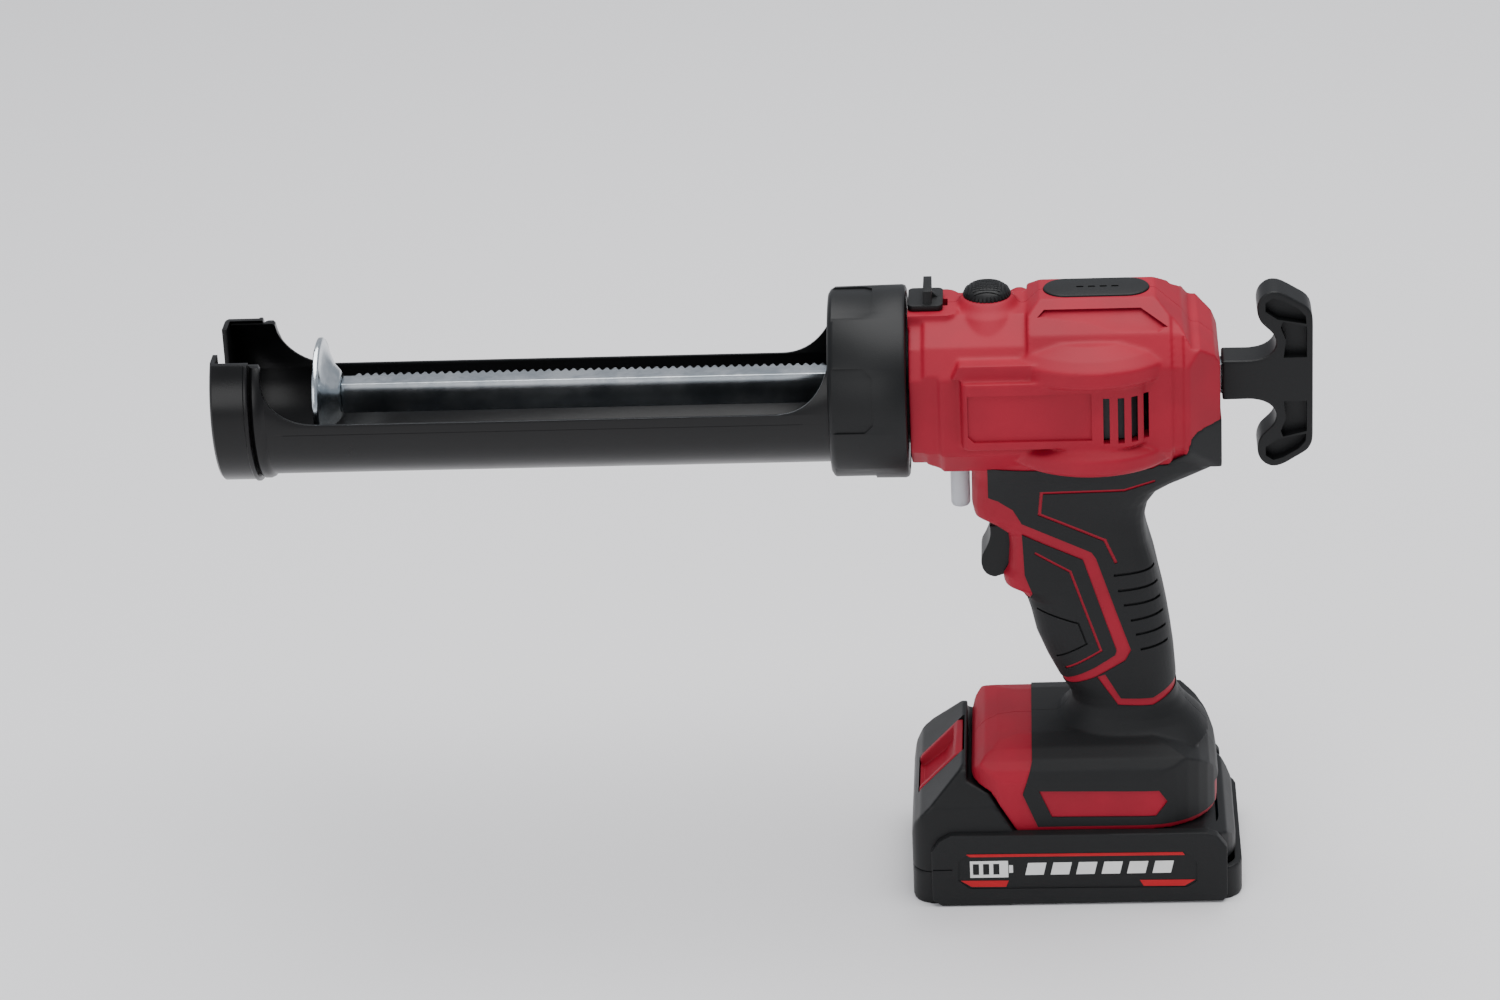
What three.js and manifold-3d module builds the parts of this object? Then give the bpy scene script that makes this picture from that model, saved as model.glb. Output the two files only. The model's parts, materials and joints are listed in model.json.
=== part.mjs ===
// Cordless caulking gun: a steel cartridge carriage, a rack-driven push rod and a pistol-grip drive unit.
// Millimetres, +Z up. Origin: centre of the battery's flat bottom. +X points back to the pull handle.

import * as THREE from 'three';
import { mergeVertices } from 'three/addons/utils/BufferGeometryUtils.js';
import Module from 'manifold-3d';

const wasm = await Module();
wasm.setup();

// ---------------------------------------------------------------- driving dimensions

const AXIS_HEIGHT = 188;          // push-rod axis above the battery's bottom
const REST_GAP = 0.3;             // between pieces that rest on or beside each other
const RUN_GAP = 0.4;              // round pieces that slide or turn
const SPLIT_GAP = 0.15;           // each housing half stops this far from the split plane

const CARTRIDGE_LENGTH = 213;
const BARREL_RADIUS = 27.5;
const BARREL_WALL = 1;
const CAP_WALL = 1.5;
const CAP_LENGTH = 13.5;
const HORN_HEIGHT = 19.5;         // the trough's horns reach this far above the axis
const NOZZLE_SLOT = 22;

const COLLAR_RADIUS = 33.6;
const COLLAR_LENGTH = 27;
const COLLAR_FRONT_WALL = 3;
const COLLAR_PANELS = 5;          // shallow finger panels round the collar's front half
const COLLAR_PANEL_TURN = 24;
const SOCKET_FACE_X = -77.4;      // face that the barrel's rear flange is clamped against
const SOCKET_RADIUS = 29.5;
const NECK_RADIUS = 28.6;
const NECK_WALL = 6.6;
const FLANGE_THICKNESS = 1.5;

const ROD_STROKE = 180;
const ROD_HEIGHT = 11;
const ROD_BACK = 4.5;             // rod's plain side, from the axis
const ROD_PITCH_LINE = 4.08;      // rack pitch line, from the axis
const RACK_PITCH = 2.9;
const PLUNGER_RADIUS = 19.6;

const BODY_FRONT_X = -50;
const BODY_REAR_X = 51.3;
const BODY_HALF_WIDTH = 29;
const BODY_TOP = 216.5;
const RIDGE_TOP = 221.2;
const BODY_BOTTOM = 161.5;
const SHELL_WALL = 2.5;

const DRIVE_X = 7;                // motor and drive shaft stand in one plane across the body
const BULGE_RADIUS = 20;
const BULGE_RIM_RADIUS = 23.5;
const BULGE_OFFSET = 14;
const BULGE_BOTTOM = 166;
const BULGE_TOP = 210;
const HUMP_FRONT_X = -37.5;       // the gear hump on each side, with a rounded rear corner
const HUMP_REAR_X = 28;
const HUMP_HALF_WIDTH = 34;
const HUMP_CORNER = 12;
const HUMP_BOTTOM = 175.5;
const HUMP_TOP = 200;
const VENT_PLACES = [12, 17, 21.6, 25.6];
const VENT_WIDTH = 2.2;
const MOTOR_RADIUS = 12.5;
const MOTOR_Y = -17.6;
const MOTOR_LENGTH = 22.5;

const GEARBOX_BELOW = 150;        // cutting heights clear of the gearbox, under and over it
const GEARBOX_ABOVE = 200;
const GEAR_BACKLASH = 0.16;
const PRESSURE_ANGLE = 25 * Math.PI / 180;
const PINION_TEETH = 12;
const DRIVE_GEAR_TEETH = 40;
const DRIVE_GEAR_MODULE = 0.7;
const IDLER_GEAR_TEETH = 36;
const IDLER_GEAR_MODULE = 0.6;
const DRIVE_SHAFT_RADIUS = 2.5;
const IDLER_SHAFT_RADIUS = 1.5;

const GRIP_HALF_WIDTH = 15.3;
const PAD_THICKNESS = 2;
const TRIGGER_HALF_WIDTH = 8;
const TRIGGER_TOP = 135.2;
const LAMP_X = -39.1;             // work light, hanging from the body in front of the trigger
const LAMP_RADIUS = 3.4;
const SCREW_POST_RADIUS = 4;
const SCREW_HEAD_HOLE = 3.3;      // radius of the well that a housing screw's head sinks into
const SCREW_HEAD_RADIUS = 2.9;
const SCREW_HEAD_DEPTH = 6;       // the well's depth from the housing's outside

const BATTERY_LENGTH = 117;
const BATTERY_CENTRE_X = -1;      // the pack sits a little further forward than its bumpers
const BATTERY_HALF_WIDTH = 36;
const BATTERY_TOP = 27.3;
const BATTERY_SPLIT = 13;
const BATTERY_WALL = 2.5;
const BUMPER_LENGTH = 100;
const BUMPER_THICKNESS = 2.2;
const CELL_RADIUS = 9.2;
const CELL_LENGTH = 65;
const CELL_COUNT = 5;
const CELL_PITCH = 18.8;
const RAIL_HALF_WIDTH = 20;
const RAIL_STEM_HALF_WIDTH = 16;
const RAIL_TOP = 35.5;
const RAIL_FLANGE = 4.1;

const FOOT_BOTTOM = 27.7;
const FOOT_TOP = 57.5;
const FOOT_HALF_WIDTH = 34.5;
const FOOT_FRONT_X = -38.6;
const FOOT_REAR_X = 50;

const HANDLE_GAP = 1;             // pull handle to housing, with the rod fully forward
const HANDLE_LENGTH = 31.2;
const HANDLE_THICKNESS = 13;
const HANDLE_HALF_SPAN = 33.5;

// ---------------------------------------------------------------- finishes

const RED_PLASTIC = { color: 0xb0323c, roughness: 0.5, metalness: 0 };
const BLACK_PLASTIC = { color: 0x26282b, roughness: 0.55, metalness: 0 };
const SOFT_BLACK = { color: 0x2b2d30, roughness: 0.75, metalness: 0 };
const BLACK_PAINT = { color: 0x1c1d1f, roughness: 0.35, metalness: 0.1 };
const ZINC = { color: 0xb9c3cb, roughness: 0.25, metalness: 1 };
const STEEL = { color: 0x9aa0a6, roughness: 0.35, metalness: 1 };
const BRASS = { color: 0xb89a4e, roughness: 0.35, metalness: 1 };
const CELL_WRAP = { color: 0x2c6f8f, roughness: 0.4, metalness: 0 };
const BOARD_GREEN = { color: 0x1f5a3c, roughness: 0.5, metalness: 0 };
const CLEAR_PLASTIC = { color: 0xd9dde2, roughness: 0.2, metalness: 0 };

const model = new THREE.Group();

// ---------------------------------------------------------------- solids and booleans

function solidOf(geometry) {
  const bare = geometry.index ? geometry.clone() : geometry;
  bare.deleteAttribute('normal');
  bare.deleteAttribute('uv');
  const merged = mergeVertices(bare, 1e-4);
  const vertProperties = new Float32Array(merged.attributes.position.array);
  const triVerts = new Uint32Array(merged.index.array);
  return new wasm.Manifold(new wasm.Mesh({ numProp: 3, vertProperties, triVerts }));
}

function addPiece(name, solid, finish) {
  const mesh = solid.getMesh();
  const geometry = new THREE.BufferGeometry();
  geometry.setAttribute('position', new THREE.BufferAttribute(mesh.vertProperties, 3));
  geometry.setIndex(new THREE.BufferAttribute(mesh.triVerts, 1));
  geometry.computeVertexNormals();
  const piece = new THREE.Mesh(geometry, new THREE.MeshStandardMaterial(finish));
  piece.name = name;
  model.add(piece);
}

function joined(...solids) {
  return solids.reduce((whole, next) => whole.add(next));
}

function cut(solid, ...tools) {
  return tools.reduce((rest, tool) => rest.subtract(tool), solid);
}

// A block between two corners.
function block(x0, x1, y0, y1, z0, z1) {
  const geometry = new THREE.BoxGeometry(x1 - x0, y1 - y0, z1 - z0);
  geometry.translate((x0 + x1) / 2, (y0 + y1) / 2, (z0 + z1) / 2);
  return solidOf(geometry);
}

// Extrudes an outline drawn in XY from height `from` to height `to`.
function alongZ(outline, from, to) {
  const shape = outline instanceof THREE.Shape ? outline : shapeOf(outline);
  const settings = { depth: to - from, bevelEnabled: false, curveSegments: 6 };
  const geometry = new THREE.ExtrudeGeometry(shape, settings);
  geometry.translate(0, 0, from);
  return solidOf(geometry);
}

// Extrudes an outline drawn in XZ across the object, from y = `from` to y = `to`.
function alongY(outline, from, to) {
  return alongZ(outline, -to, -from).rotate([90, 0, 0]);
}

// Extrudes an outline drawn in YZ along the object, from x = `from` to x = `to`.
function alongX(outline, from, to) {
  return alongZ(outline, from, to).rotate([90, 0, 90]);
}

function shapeOf(points) {
  return new THREE.Shape(points.map(([u, v]) => new THREE.Vector2(u, v)));
}

// A mirrored outline from the points of its positive half, listed from bottom to top.
function mirrored(points) {
  const otherHalf = points.map(([u, v]) => [-u, v]).reverse();
  return [...points, ...otherHalf];
}

// Moves each side of a closed anticlockwise outline inwards by `distance`.
function inset(points, distance) {
  return points.map((point, index) => {
    const before = points[(index + points.length - 1) % points.length];
    const after = points[(index + 1) % points.length];
    const inNormal = sideNormal(before, point);
    const outNormal = sideNormal(point, after);
    const share = distance / (1 + inNormal.dot(outNormal));
    return [point[0] + (inNormal.x + outNormal.x) * share, point[1] + (inNormal.y + outNormal.y) * share];
  });
}

function sideNormal(start, end) {
  return new THREE.Vector2(start[1] - end[1], end[0] - start[0]).normalize();
}

// A solid cylinder with its axis along x, y or z, from `from` to `to` on that axis.
function cylinder(axis, centre, radius, from, to, sides = 24, endRadius = radius) {
  const geometry = new THREE.CylinderGeometry(endRadius, radius, to - from, sides);
  geometry.rotateX(Math.PI / 2);
  geometry.translate(0, 0, (from + to) / 2);
  return placedOnAxis(solidOf(geometry), axis, centre);
}

function placedOnAxis(solid, axis, [first, second]) {
  if (axis === 'x') {
    return solid.rotate([90, 0, 90]).translate([0, first, second]);
  }
  if (axis === 'y') {
    return solid.rotate([90, 0, 0]).mirror([0, 1, 0]).translate([first, 0, second]);
  }
  return solid.translate([first, second, 0]);
}

// A body of revolution about the push-rod axis; the profile is [x, radius] pairs, front to rear outside.
function turned(profile, sides = 40) {
  const points = profile.map(([x, radius]) => new THREE.Vector2(radius, x));
  const geometry = new THREE.LatheGeometry([...points, points[0].clone()], sides);
  return solidOf(geometry).rotate([0, 0, -90]).translate([0, 0, AXIS_HEIGHT]);
}

function roundedRectangle(x0, x1, halfWidth, frontRadius, rearRadius) {
  const shape = new THREE.Shape();
  shape.moveTo(x0 + frontRadius, -halfWidth);
  shape.lineTo(x1 - rearRadius, -halfWidth);
  shape.absarc(x1 - rearRadius, -halfWidth + rearRadius, rearRadius, -Math.PI / 2, 0);
  shape.lineTo(x1, halfWidth - rearRadius);
  shape.absarc(x1 - rearRadius, halfWidth - rearRadius, rearRadius, 0, Math.PI / 2);
  shape.lineTo(x0 + frontRadius, halfWidth);
  shape.absarc(x0 + frontRadius, halfWidth - frontRadius, frontRadius, Math.PI / 2, Math.PI);
  shape.lineTo(x0, -halfWidth + frontRadius);
  shape.absarc(x0 + frontRadius, -halfWidth + frontRadius, frontRadius, Math.PI, Math.PI * 1.5);
  return shape;
}

// ---------------------------------------------------------------- carriage: barrel, cap and collar

const barrelRearX = SOCKET_FACE_X - REST_GAP;
const plungerRetractedX = SOCKET_FACE_X - 4;
const barrelFrontX = plungerRetractedX - CARTRIDGE_LENGTH;
const capFrontX = barrelFrontX - 2;
const capRearX = capFrontX + CAP_LENGTH;
const collarRearX = SOCKET_FACE_X + COLLAR_LENGTH - 5.6;
const collarFrontX = collarRearX - COLLAR_LENGTH;

// Side view of what is cut from the top of the tube: the loading trough with its curved ends.
function troughCut() {
  const axisZ = AXIS_HEIGHT;
  const hornZ = axisZ + HORN_HEIGHT;
  const above = axisZ + COLLAR_RADIUS + 10;
  const shape = new THREE.Shape();
  shape.moveTo(capFrontX - 5, above);
  shape.lineTo(capFrontX - 5, hornZ);
  shape.lineTo(capRearX + 4, hornZ);
  shape.bezierCurveTo(capRearX + 4, axisZ + 8, capRearX + 11, axisZ, capRearX + 23, axisZ);
  shape.lineTo(collarFrontX - 18, axisZ);
  shape.bezierCurveTo(collarFrontX - 7, axisZ, collarFrontX - 1, axisZ + 9, collarFrontX + 1, hornZ);
  shape.lineTo(collarFrontX + COLLAR_FRONT_WALL - 0.5, above);
  return alongY(shape, -COLLAR_RADIUS - 5, COLLAR_RADIUS + 5);
}

function barrel() {
  const inner = BARREL_RADIUS - BARREL_WALL;
  const bead = BARREL_RADIUS + CAP_WALL;
  const flange = SOCKET_RADIUS + 0.8;
  const tube = turned([
    [barrelFrontX, inner], [barrelFrontX, BARREL_RADIUS],
    [capRearX + REST_GAP, BARREL_RADIUS], [capRearX + 0.9, bead], [capRearX + 4.5, bead],
    [capRearX + 6, BARREL_RADIUS],
    [barrelRearX - FLANGE_THICKNESS, BARREL_RADIUS], [barrelRearX - FLANGE_THICKNESS, flange],
    [barrelRearX, flange], [barrelRearX, inner],
  ]);
  return cut(tube, troughCut());
}

function frontCap() {
  const outer = BARREL_RADIUS + REST_GAP + CAP_WALL;
  const inner = BARREL_RADIUS + REST_GAP;
  const ring = turned([
    [capFrontX, 0], [capFrontX, outer - 0.8], [capFrontX + 0.8, outer], [capRearX, outer], [capRearX, inner],
    [barrelFrontX - REST_GAP, inner], [barrelFrontX - REST_GAP, 0],
  ]);
  const slotRadius = NOZZLE_SLOT / 2;
  const slotBottom = cylinder('x', [0, AXIS_HEIGHT], slotRadius, capFrontX - 1, barrelFrontX + 1);
  const slotTop = block(capFrontX - 1, barrelFrontX + 1, -slotRadius, slotRadius, AXIS_HEIGHT,
    AXIS_HEIGHT + outer);
  const hornZ = AXIS_HEIGHT + HORN_HEIGHT + 1;
  const opening = block(capFrontX - 1, capRearX + 1, -outer, outer, hornZ, hornZ + outer);
  return cut(ring, slotBottom, slotTop, opening);
}

function collarNut() {
  const front = collarFrontX;
  const rear = collarRearX;
  const bore = SOCKET_RADIUS + 1.2;
  const collar = turned([
    [front, BARREL_RADIUS + RUN_GAP], [front, COLLAR_RADIUS - 3], [front + 3, COLLAR_RADIUS - 0.3],
    [rear - 1.5, COLLAR_RADIUS], [rear, COLLAR_RADIUS - 1.5], [rear, bore],
    [front + COLLAR_FRONT_WALL, bore], [front + COLLAR_FRONT_WALL, BARREL_RADIUS + RUN_GAP],
  ]);
  const panels = [];
  for (let index = 0; index < COLLAR_PANELS; index += 1) {
    const panel = block(front - 1, front + 15, -9, 9, COLLAR_RADIUS - 1, COLLAR_RADIUS + 2);
    const angle = COLLAR_PANEL_TURN + 360 / COLLAR_PANELS * index;
    panels.push(panel.rotate([angle, 0, 0]).translate([0, 0, AXIS_HEIGHT]));
  }
  return cut(collar, ...panels);
}

// The threaded neck ring that the collar screws onto. Its deep mouth lets the plunger's hub draw back in.
function barrelSocket() {
  const mouth = PLUNGER_RADIUS + 1.2;
  const neckBore = NECK_RADIUS - 7;
  return turned([
    [SOCKET_FACE_X, mouth], [SOCKET_FACE_X, SOCKET_RADIUS], [collarRearX - 0.2, SOCKET_RADIUS],
    [collarRearX - 0.2, neckBore], [collarRearX + 6.5, neckBore], [collarRearX + 6.5, 12],
    [collarRearX - 4, 12], [collarRearX - 7, mouth],
  ]);
}

// ---------------------------------------------------------------- push rod, plunger and pull handle

const plungerRimX = plungerRetractedX - ROD_STROKE;
const plungerHubX = plungerRimX + 6;
const rodFrontX = plungerHubX + 1.8;
const handleFrontX = BODY_REAR_X + HANDLE_GAP;
const rodRearX = handleFrontX + 9.5;
const rackModule = RACK_PITCH / Math.PI;

// The rack's teeth face +Y. One tooth stands exactly at the drive shaft, so that the pinion meshes at rest.
function rodOutline() {
  const tip = ROD_PITCH_LINE + rackModule;
  const root = ROD_PITCH_LINE - 1.25 * rackModule;
  const halfAtPitch = RACK_PITCH / 4 - GEAR_BACKLASH / 4;
  const halfAtTip = halfAtPitch - rackModule * Math.tan(PRESSURE_ANGLE);
  const halfAtRoot = halfAtPitch + 1.25 * rackModule * Math.tan(PRESSURE_ANGLE);
  const firstTooth = Math.ceil((rodFrontX + 5 - DRIVE_X) / RACK_PITCH);
  const lastTooth = Math.floor((BODY_REAR_X - 18 - DRIVE_X) / RACK_PITCH);
  const points = [[rodRearX, -ROD_BACK], [rodRearX, root]];
  for (let tooth = lastTooth; tooth >= firstTooth; tooth -= 1) {
    const centre = DRIVE_X + tooth * RACK_PITCH;
    points.push([centre + halfAtRoot, root], [centre + halfAtTip, tip]);
    points.push([centre - halfAtTip, tip], [centre - halfAtRoot, root]);
  }
  points.push([rodFrontX, root], [rodFrontX, -ROD_BACK]);
  return points.reverse();
}

const rodTop = AXIS_HEIGHT + ROD_HEIGHT / 2;
const rodBottom = AXIS_HEIGHT - ROD_HEIGHT / 2;
const screwRadius = 2;
const handlePinX = handleFrontX + 5;
const handlePinRadius = 1.5;

function pushRod() {
  const bar = alongZ(rodOutline(), rodBottom, rodTop);
  const screwHole = cylinder('x', [0, AXIS_HEIGHT], screwRadius + REST_GAP, rodFrontX - 1, rodFrontX + 10, 16);
  const pinHole = cylinder('z', [handlePinX, 0], handlePinRadius + REST_GAP, rodBottom - 1, rodTop + 1, 16);
  return cut(bar, screwHole, pinHole);
}

function plungerDisc() {
  const thickness = 1.5;
  const bore = screwRadius + REST_GAP;
  return turned([
    [plungerRimX, PLUNGER_RADIUS], [plungerRimX + thickness, PLUNGER_RADIUS],
    [plungerHubX + thickness, 8], [plungerHubX + thickness, bore], [plungerHubX, bore], [plungerHubX, 8],
  ], 36);
}

function plungerScrew() {
  const headX = plungerHubX - REST_GAP;
  const head = cylinder('x', [0, AXIS_HEIGHT], 4.5, headX - 3, headX, 24);
  const shank = cylinder('x', [0, AXIS_HEIGHT], screwRadius, headX - 0.5, rodFrontX + 8, 16);
  const drive = block(headX - 4, headX - 1.5, -3, 3, AXIS_HEIGHT - 0.6, AXIS_HEIGHT + 0.6);
  return cut(joined(head, shank), drive);
}

function handleOutline() {
  const backX = handleFrontX + HANDLE_LENGTH;
  const barX = backX - 13;
  const stem = 7.3;
  const neckX = handleFrontX + 11;
  const hookX = handleFrontX + 12;
  const span = HANDLE_HALF_SPAN;
  const shape = new THREE.Shape();
  shape.moveTo(handleFrontX, -stem);
  shape.lineTo(neckX, -stem);
  shape.bezierCurveTo(barX + 1, -stem - 1, barX + 4, -stem - 14, barX - 3, -stem - 14.5);
  shape.bezierCurveTo(hookX - 1, -span + 10, hookX, -span + 4, barX - 2, -span);
  shape.lineTo(backX - 6, -span + 3);
  shape.lineTo(backX, -span + 11);
  shape.lineTo(backX, span - 11);
  shape.lineTo(backX - 6, span - 3);
  shape.lineTo(barX - 2, span);
  shape.bezierCurveTo(hookX, span - 4, hookX - 1, span - 10, barX - 3, stem + 14.5);
  shape.bezierCurveTo(barX + 4, stem + 14, barX + 1, stem + 1, neckX, stem);
  shape.lineTo(handleFrontX, stem);
  return shape;
}

function pullHandle() {
  const half = HANDLE_THICKNESS / 2;
  const body = alongY(handleOutline(), -half, half).translate([0, 0, AXIS_HEIGHT]);
  const socket = block(handleFrontX - 1, rodRearX + REST_GAP, -ROD_BACK - REST_GAP, 5, rodBottom - REST_GAP,
    rodTop + REST_GAP);
  const pinHole = cylinder('z', [handlePinX, 0], handlePinRadius + REST_GAP, AXIS_HEIGHT - 20,
    AXIS_HEIGHT + 20, 16);
  const backX = handleFrontX + HANDLE_LENGTH;
  const pockets = [];
  for (const side of [-1, 1]) {
    for (const face of [-1, 1]) {
      const lowZ = AXIS_HEIGHT + side * 9 - (side < 0 ? 13 : 0);
      const faceY = face * half;
      pockets.push(block(backX - 9.5, backX - 2, faceY - 4, faceY + 4, lowZ, lowZ + 13));
    }
  }
  return cut(body, socket, pinHole, ...pockets);
}

function handlePin() {
  return cylinder('z', [handlePinX, 0], handlePinRadius, AXIS_HEIGHT - 6.8, AXIS_HEIGHT + 6.8, 16);
}

// ---------------------------------------------------------------- gears

const pinionPitchRadius = PINION_TEETH * rackModule / 2;
const driveY = ROD_PITCH_LINE + pinionPitchRadius;
const driveGearRadius = DRIVE_GEAR_TEETH * DRIVE_GEAR_MODULE / 2;
const idlerPinionRadius = PINION_TEETH * DRIVE_GEAR_MODULE / 2;
const idlerGearRadius = IDLER_GEAR_TEETH * IDLER_GEAR_MODULE / 2;
const motorPinionRadius = PINION_TEETH * IDLER_GEAR_MODULE / 2;
const idlerPlace = triangulated(driveGearRadius + idlerPinionRadius, idlerGearRadius + motorPinionRadius);

const caseFloor = BODY_BOTTOM + 6.5;
const lowerGearTop = caseFloor + 5;
const upperGearTop = lowerGearTop + 6;
const coverBottom = upperGearTop + 0.6;
const coverTop = AXIS_HEIGHT - ROD_HEIGHT / 2 - 0.5;

// The idler's centre, in front of the plane that holds the drive shaft and the motor.
function triangulated(toDrive, toMotor) {
  const apart = driveY - MOTOR_Y;
  const along = (toDrive ** 2 - toMotor ** 2 + apart ** 2) / (2 * apart);
  const aside = Math.sqrt(toDrive ** 2 - along ** 2);
  return [DRIVE_X - aside, driveY - along];
}

// An involute spur gear outline with the middle of a tooth, or of a space, at the angle `phase`.
function gearOutline(teeth, module, phase, startsWithSpace) {
  const pitch = teeth * module / 2;
  const base = pitch * Math.cos(PRESSURE_ANGLE);
  const tip = pitch + module;
  const root = pitch - 1.25 * module;
  const halfAtPitch = Math.PI / (2 * teeth) - GEAR_BACKLASH / (4 * pitch);
  const involute = (angle) => Math.tan(angle) - angle;
  const halfAt = (radius) => {
    const angle = Math.acos(Math.min(1, base / radius));
    return halfAtPitch + involute(PRESSURE_ANGLE) - involute(angle);
  };
  const start = Math.max(base, root);
  const flank = [0, 0.5, 1].map((share) => start + (tip - start) * share);
  const points = [];
  for (let tooth = 0; tooth < teeth; tooth += 1) {
    const middle = phase + (tooth + (startsWithSpace ? 0.5 : 0)) * 2 * Math.PI / teeth;
    const rising = flank.map((radius) => [radius, middle - halfAt(radius)]);
    const falling = flank.map((radius) => [radius, middle + halfAt(radius)]).reverse();
    const foot = base > root ? [[root, middle - halfAt(start)]] : [];
    const heel = base > root ? [[root, middle + halfAt(start)]] : [];
    points.push(...foot, ...rising, ...falling, ...heel);
  }
  return points.map(([radius, angle]) => [radius * Math.cos(angle), radius * Math.sin(angle)]);
}

function gear(teeth, module, phase, startsWithSpace, [x, y], from, to) {
  return alongZ(gearOutline(teeth, module, phase, startsWithSpace), from, to).translate([x, y, 0]);
}

const towardIdler = Math.atan2(idlerPlace[1] - driveY, idlerPlace[0] - DRIVE_X);
const idlerTowardMotor = Math.atan2(MOTOR_Y - idlerPlace[1], DRIVE_X - idlerPlace[0]);
const drivePlace = [DRIVE_X, driveY];
const motorPlace = [DRIVE_X, MOTOR_Y];
const drivePinionTop = rodTop + 0.2;

function driveShaft() {
  return cylinder('z', drivePlace, DRIVE_SHAFT_RADIUS, caseFloor - 1.5, drivePinionTop + 3.6, 24);
}

function drivePinion() {
  const teeth = gear(PINION_TEETH, rackModule, -Math.PI / 2, true, drivePlace, rodBottom + 0.6, drivePinionTop);
  return cut(teeth, cylinder('z', drivePlace, DRIVE_SHAFT_RADIUS + 0.1, rodBottom, drivePinionTop + 1, 24));
}

function driveGear() {
  const teeth = gear(DRIVE_GEAR_TEETH, DRIVE_GEAR_MODULE, towardIdler, false, drivePlace,
    lowerGearTop + 0.8, upperGearTop);
  return cut(teeth, cylinder('z', drivePlace, DRIVE_SHAFT_RADIUS + 0.1, lowerGearTop, upperGearTop + 1, 24));
}

function idlerGear() {
  const wheel = gear(IDLER_GEAR_TEETH, IDLER_GEAR_MODULE, idlerTowardMotor, false, idlerPlace,
    caseFloor + 0.5, lowerGearTop);
  const pinion = gear(PINION_TEETH, DRIVE_GEAR_MODULE, towardIdler + Math.PI, true, idlerPlace,
    lowerGearTop - 0.5, upperGearTop);
  const bore = cylinder('z', idlerPlace, IDLER_SHAFT_RADIUS + REST_GAP, caseFloor, upperGearTop + 1, 20);
  return cut(joined(wheel, pinion), bore);
}

function idlerShaft() {
  return cylinder('z', idlerPlace, IDLER_SHAFT_RADIUS, caseFloor - 1.5, coverTop - 0.2, 20);
}

function motorPinion() {
  const teeth = gear(PINION_TEETH, IDLER_GEAR_MODULE, idlerTowardMotor + Math.PI, true, motorPlace,
    caseFloor + 0.5, lowerGearTop);
  return joined(teeth, cylinder('z', motorPlace, 1.5, lowerGearTop - 0.5, coverTop + MOTOR_LENGTH - 1, 20));
}

// ---------------------------------------------------------------- housing shapes, shared by what fits inside

const bodySection = mirrored([
  [19, BODY_BOTTOM], [BODY_HALF_WIDTH, BODY_BOTTOM + 10.5], [BODY_HALF_WIDTH, BODY_TOP - 13.5],
  [22, BODY_TOP - 3.5], [9, RIDGE_TOP],
]);
const bodyProfile = [
  [BODY_FRONT_X, BODY_BOTTOM], [BODY_REAR_X, BODY_BOTTOM], [BODY_REAR_X, 199.5], [BODY_REAR_X - 1.8, 203.7],
  [BODY_REAR_X - 7, 207.9], [BODY_REAR_X - 9.6, 207.9], [BODY_REAR_X - 12.6, 212.9],
  [BODY_REAR_X - 21.8, RIDGE_TOP], [-10.1, RIDGE_TOP], [-15, BODY_TOP], [BODY_FRONT_X, BODY_TOP],
];
const bodyPlan = [
  [BODY_FRONT_X, -BODY_HALF_WIDTH], [BODY_REAR_X - 11, -BODY_HALF_WIDTH], [BODY_REAR_X, -BODY_HALF_WIDTH + 10],
  [BODY_REAR_X, BODY_HALF_WIDTH - 10], [BODY_REAR_X - 11, BODY_HALF_WIDTH], [BODY_FRONT_X, BODY_HALF_WIDTH],
];
const gripOutline = [
  [-35.5, BODY_BOTTOM + 2], [-35.5, 140.5], [-31, 136.5], [-24, 135.8], [-22, 131], [-22, 118], [-26, 116],
  [-25.5, 113], [-20.7, 110.9], [-16, 104], [-13.8, 93.4], [-10.3, 84.5], [-5.6, 74.8], [0, 61.6],
  [0, FOOT_TOP - 1], [36, FOOT_TOP - 1], [35.8, 65], [34.8, 83.5], [33.2, 97.8], [30.9, 110], [28, 122],
  [25.6, 130], [25, 137], [26.1, 143.7], [29.5, 149], [35.5, 152.7], [44.5, 156.5], [BODY_REAR_X - 0.3, 160],
  [BODY_REAR_X - 0.3, BODY_BOTTOM + 2],
];
// The grip's hollow follows a plainer outline, without the steps around the trigger.
const gripHollow = [
  [-35.5, BODY_BOTTOM + 8], [-35.5, 140.5], [-22, 137], [-22, 113], [-16, 104], [-13.8, 93.4], [-5.6, 74.8],
  [0, 61.6], [0, FOOT_TOP - 1], [36, FOOT_TOP - 1], [35.8, 65], [33.2, 97.8], [28, 122], [25, 133],
  [26.1, 143.7], [35.5, 152.7], [BODY_REAR_X - 0.3, 160], [BODY_REAR_X - 0.3, BODY_BOTTOM + 8],
];
const footProfile = [
  [-22, FOOT_BOTTOM], [FOOT_REAR_X, FOOT_BOTTOM], [FOOT_REAR_X, 44], [44, 52], [36, FOOT_TOP],
  [-31, FOOT_TOP], [FOOT_FRONT_X, 51], [FOOT_FRONT_X, 46.5], [-31, 42.5],
];
const footSection = mirrored([
  [FOOT_HALF_WIDTH, FOOT_BOTTOM], [FOOT_HALF_WIDTH, 43], [27, 52], [17, FOOT_TOP],
]);

function bodySolid(depth) {
  const long = 80;
  const section = alongX(inset(bodySection, depth), -long, long);
  const profile = alongY(inset(bodyProfile, depth), -long, long);
  const plan = alongZ(inset(bodyPlan, depth), 100, 260);
  return section.intersect(profile).intersect(plan);
}

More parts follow.
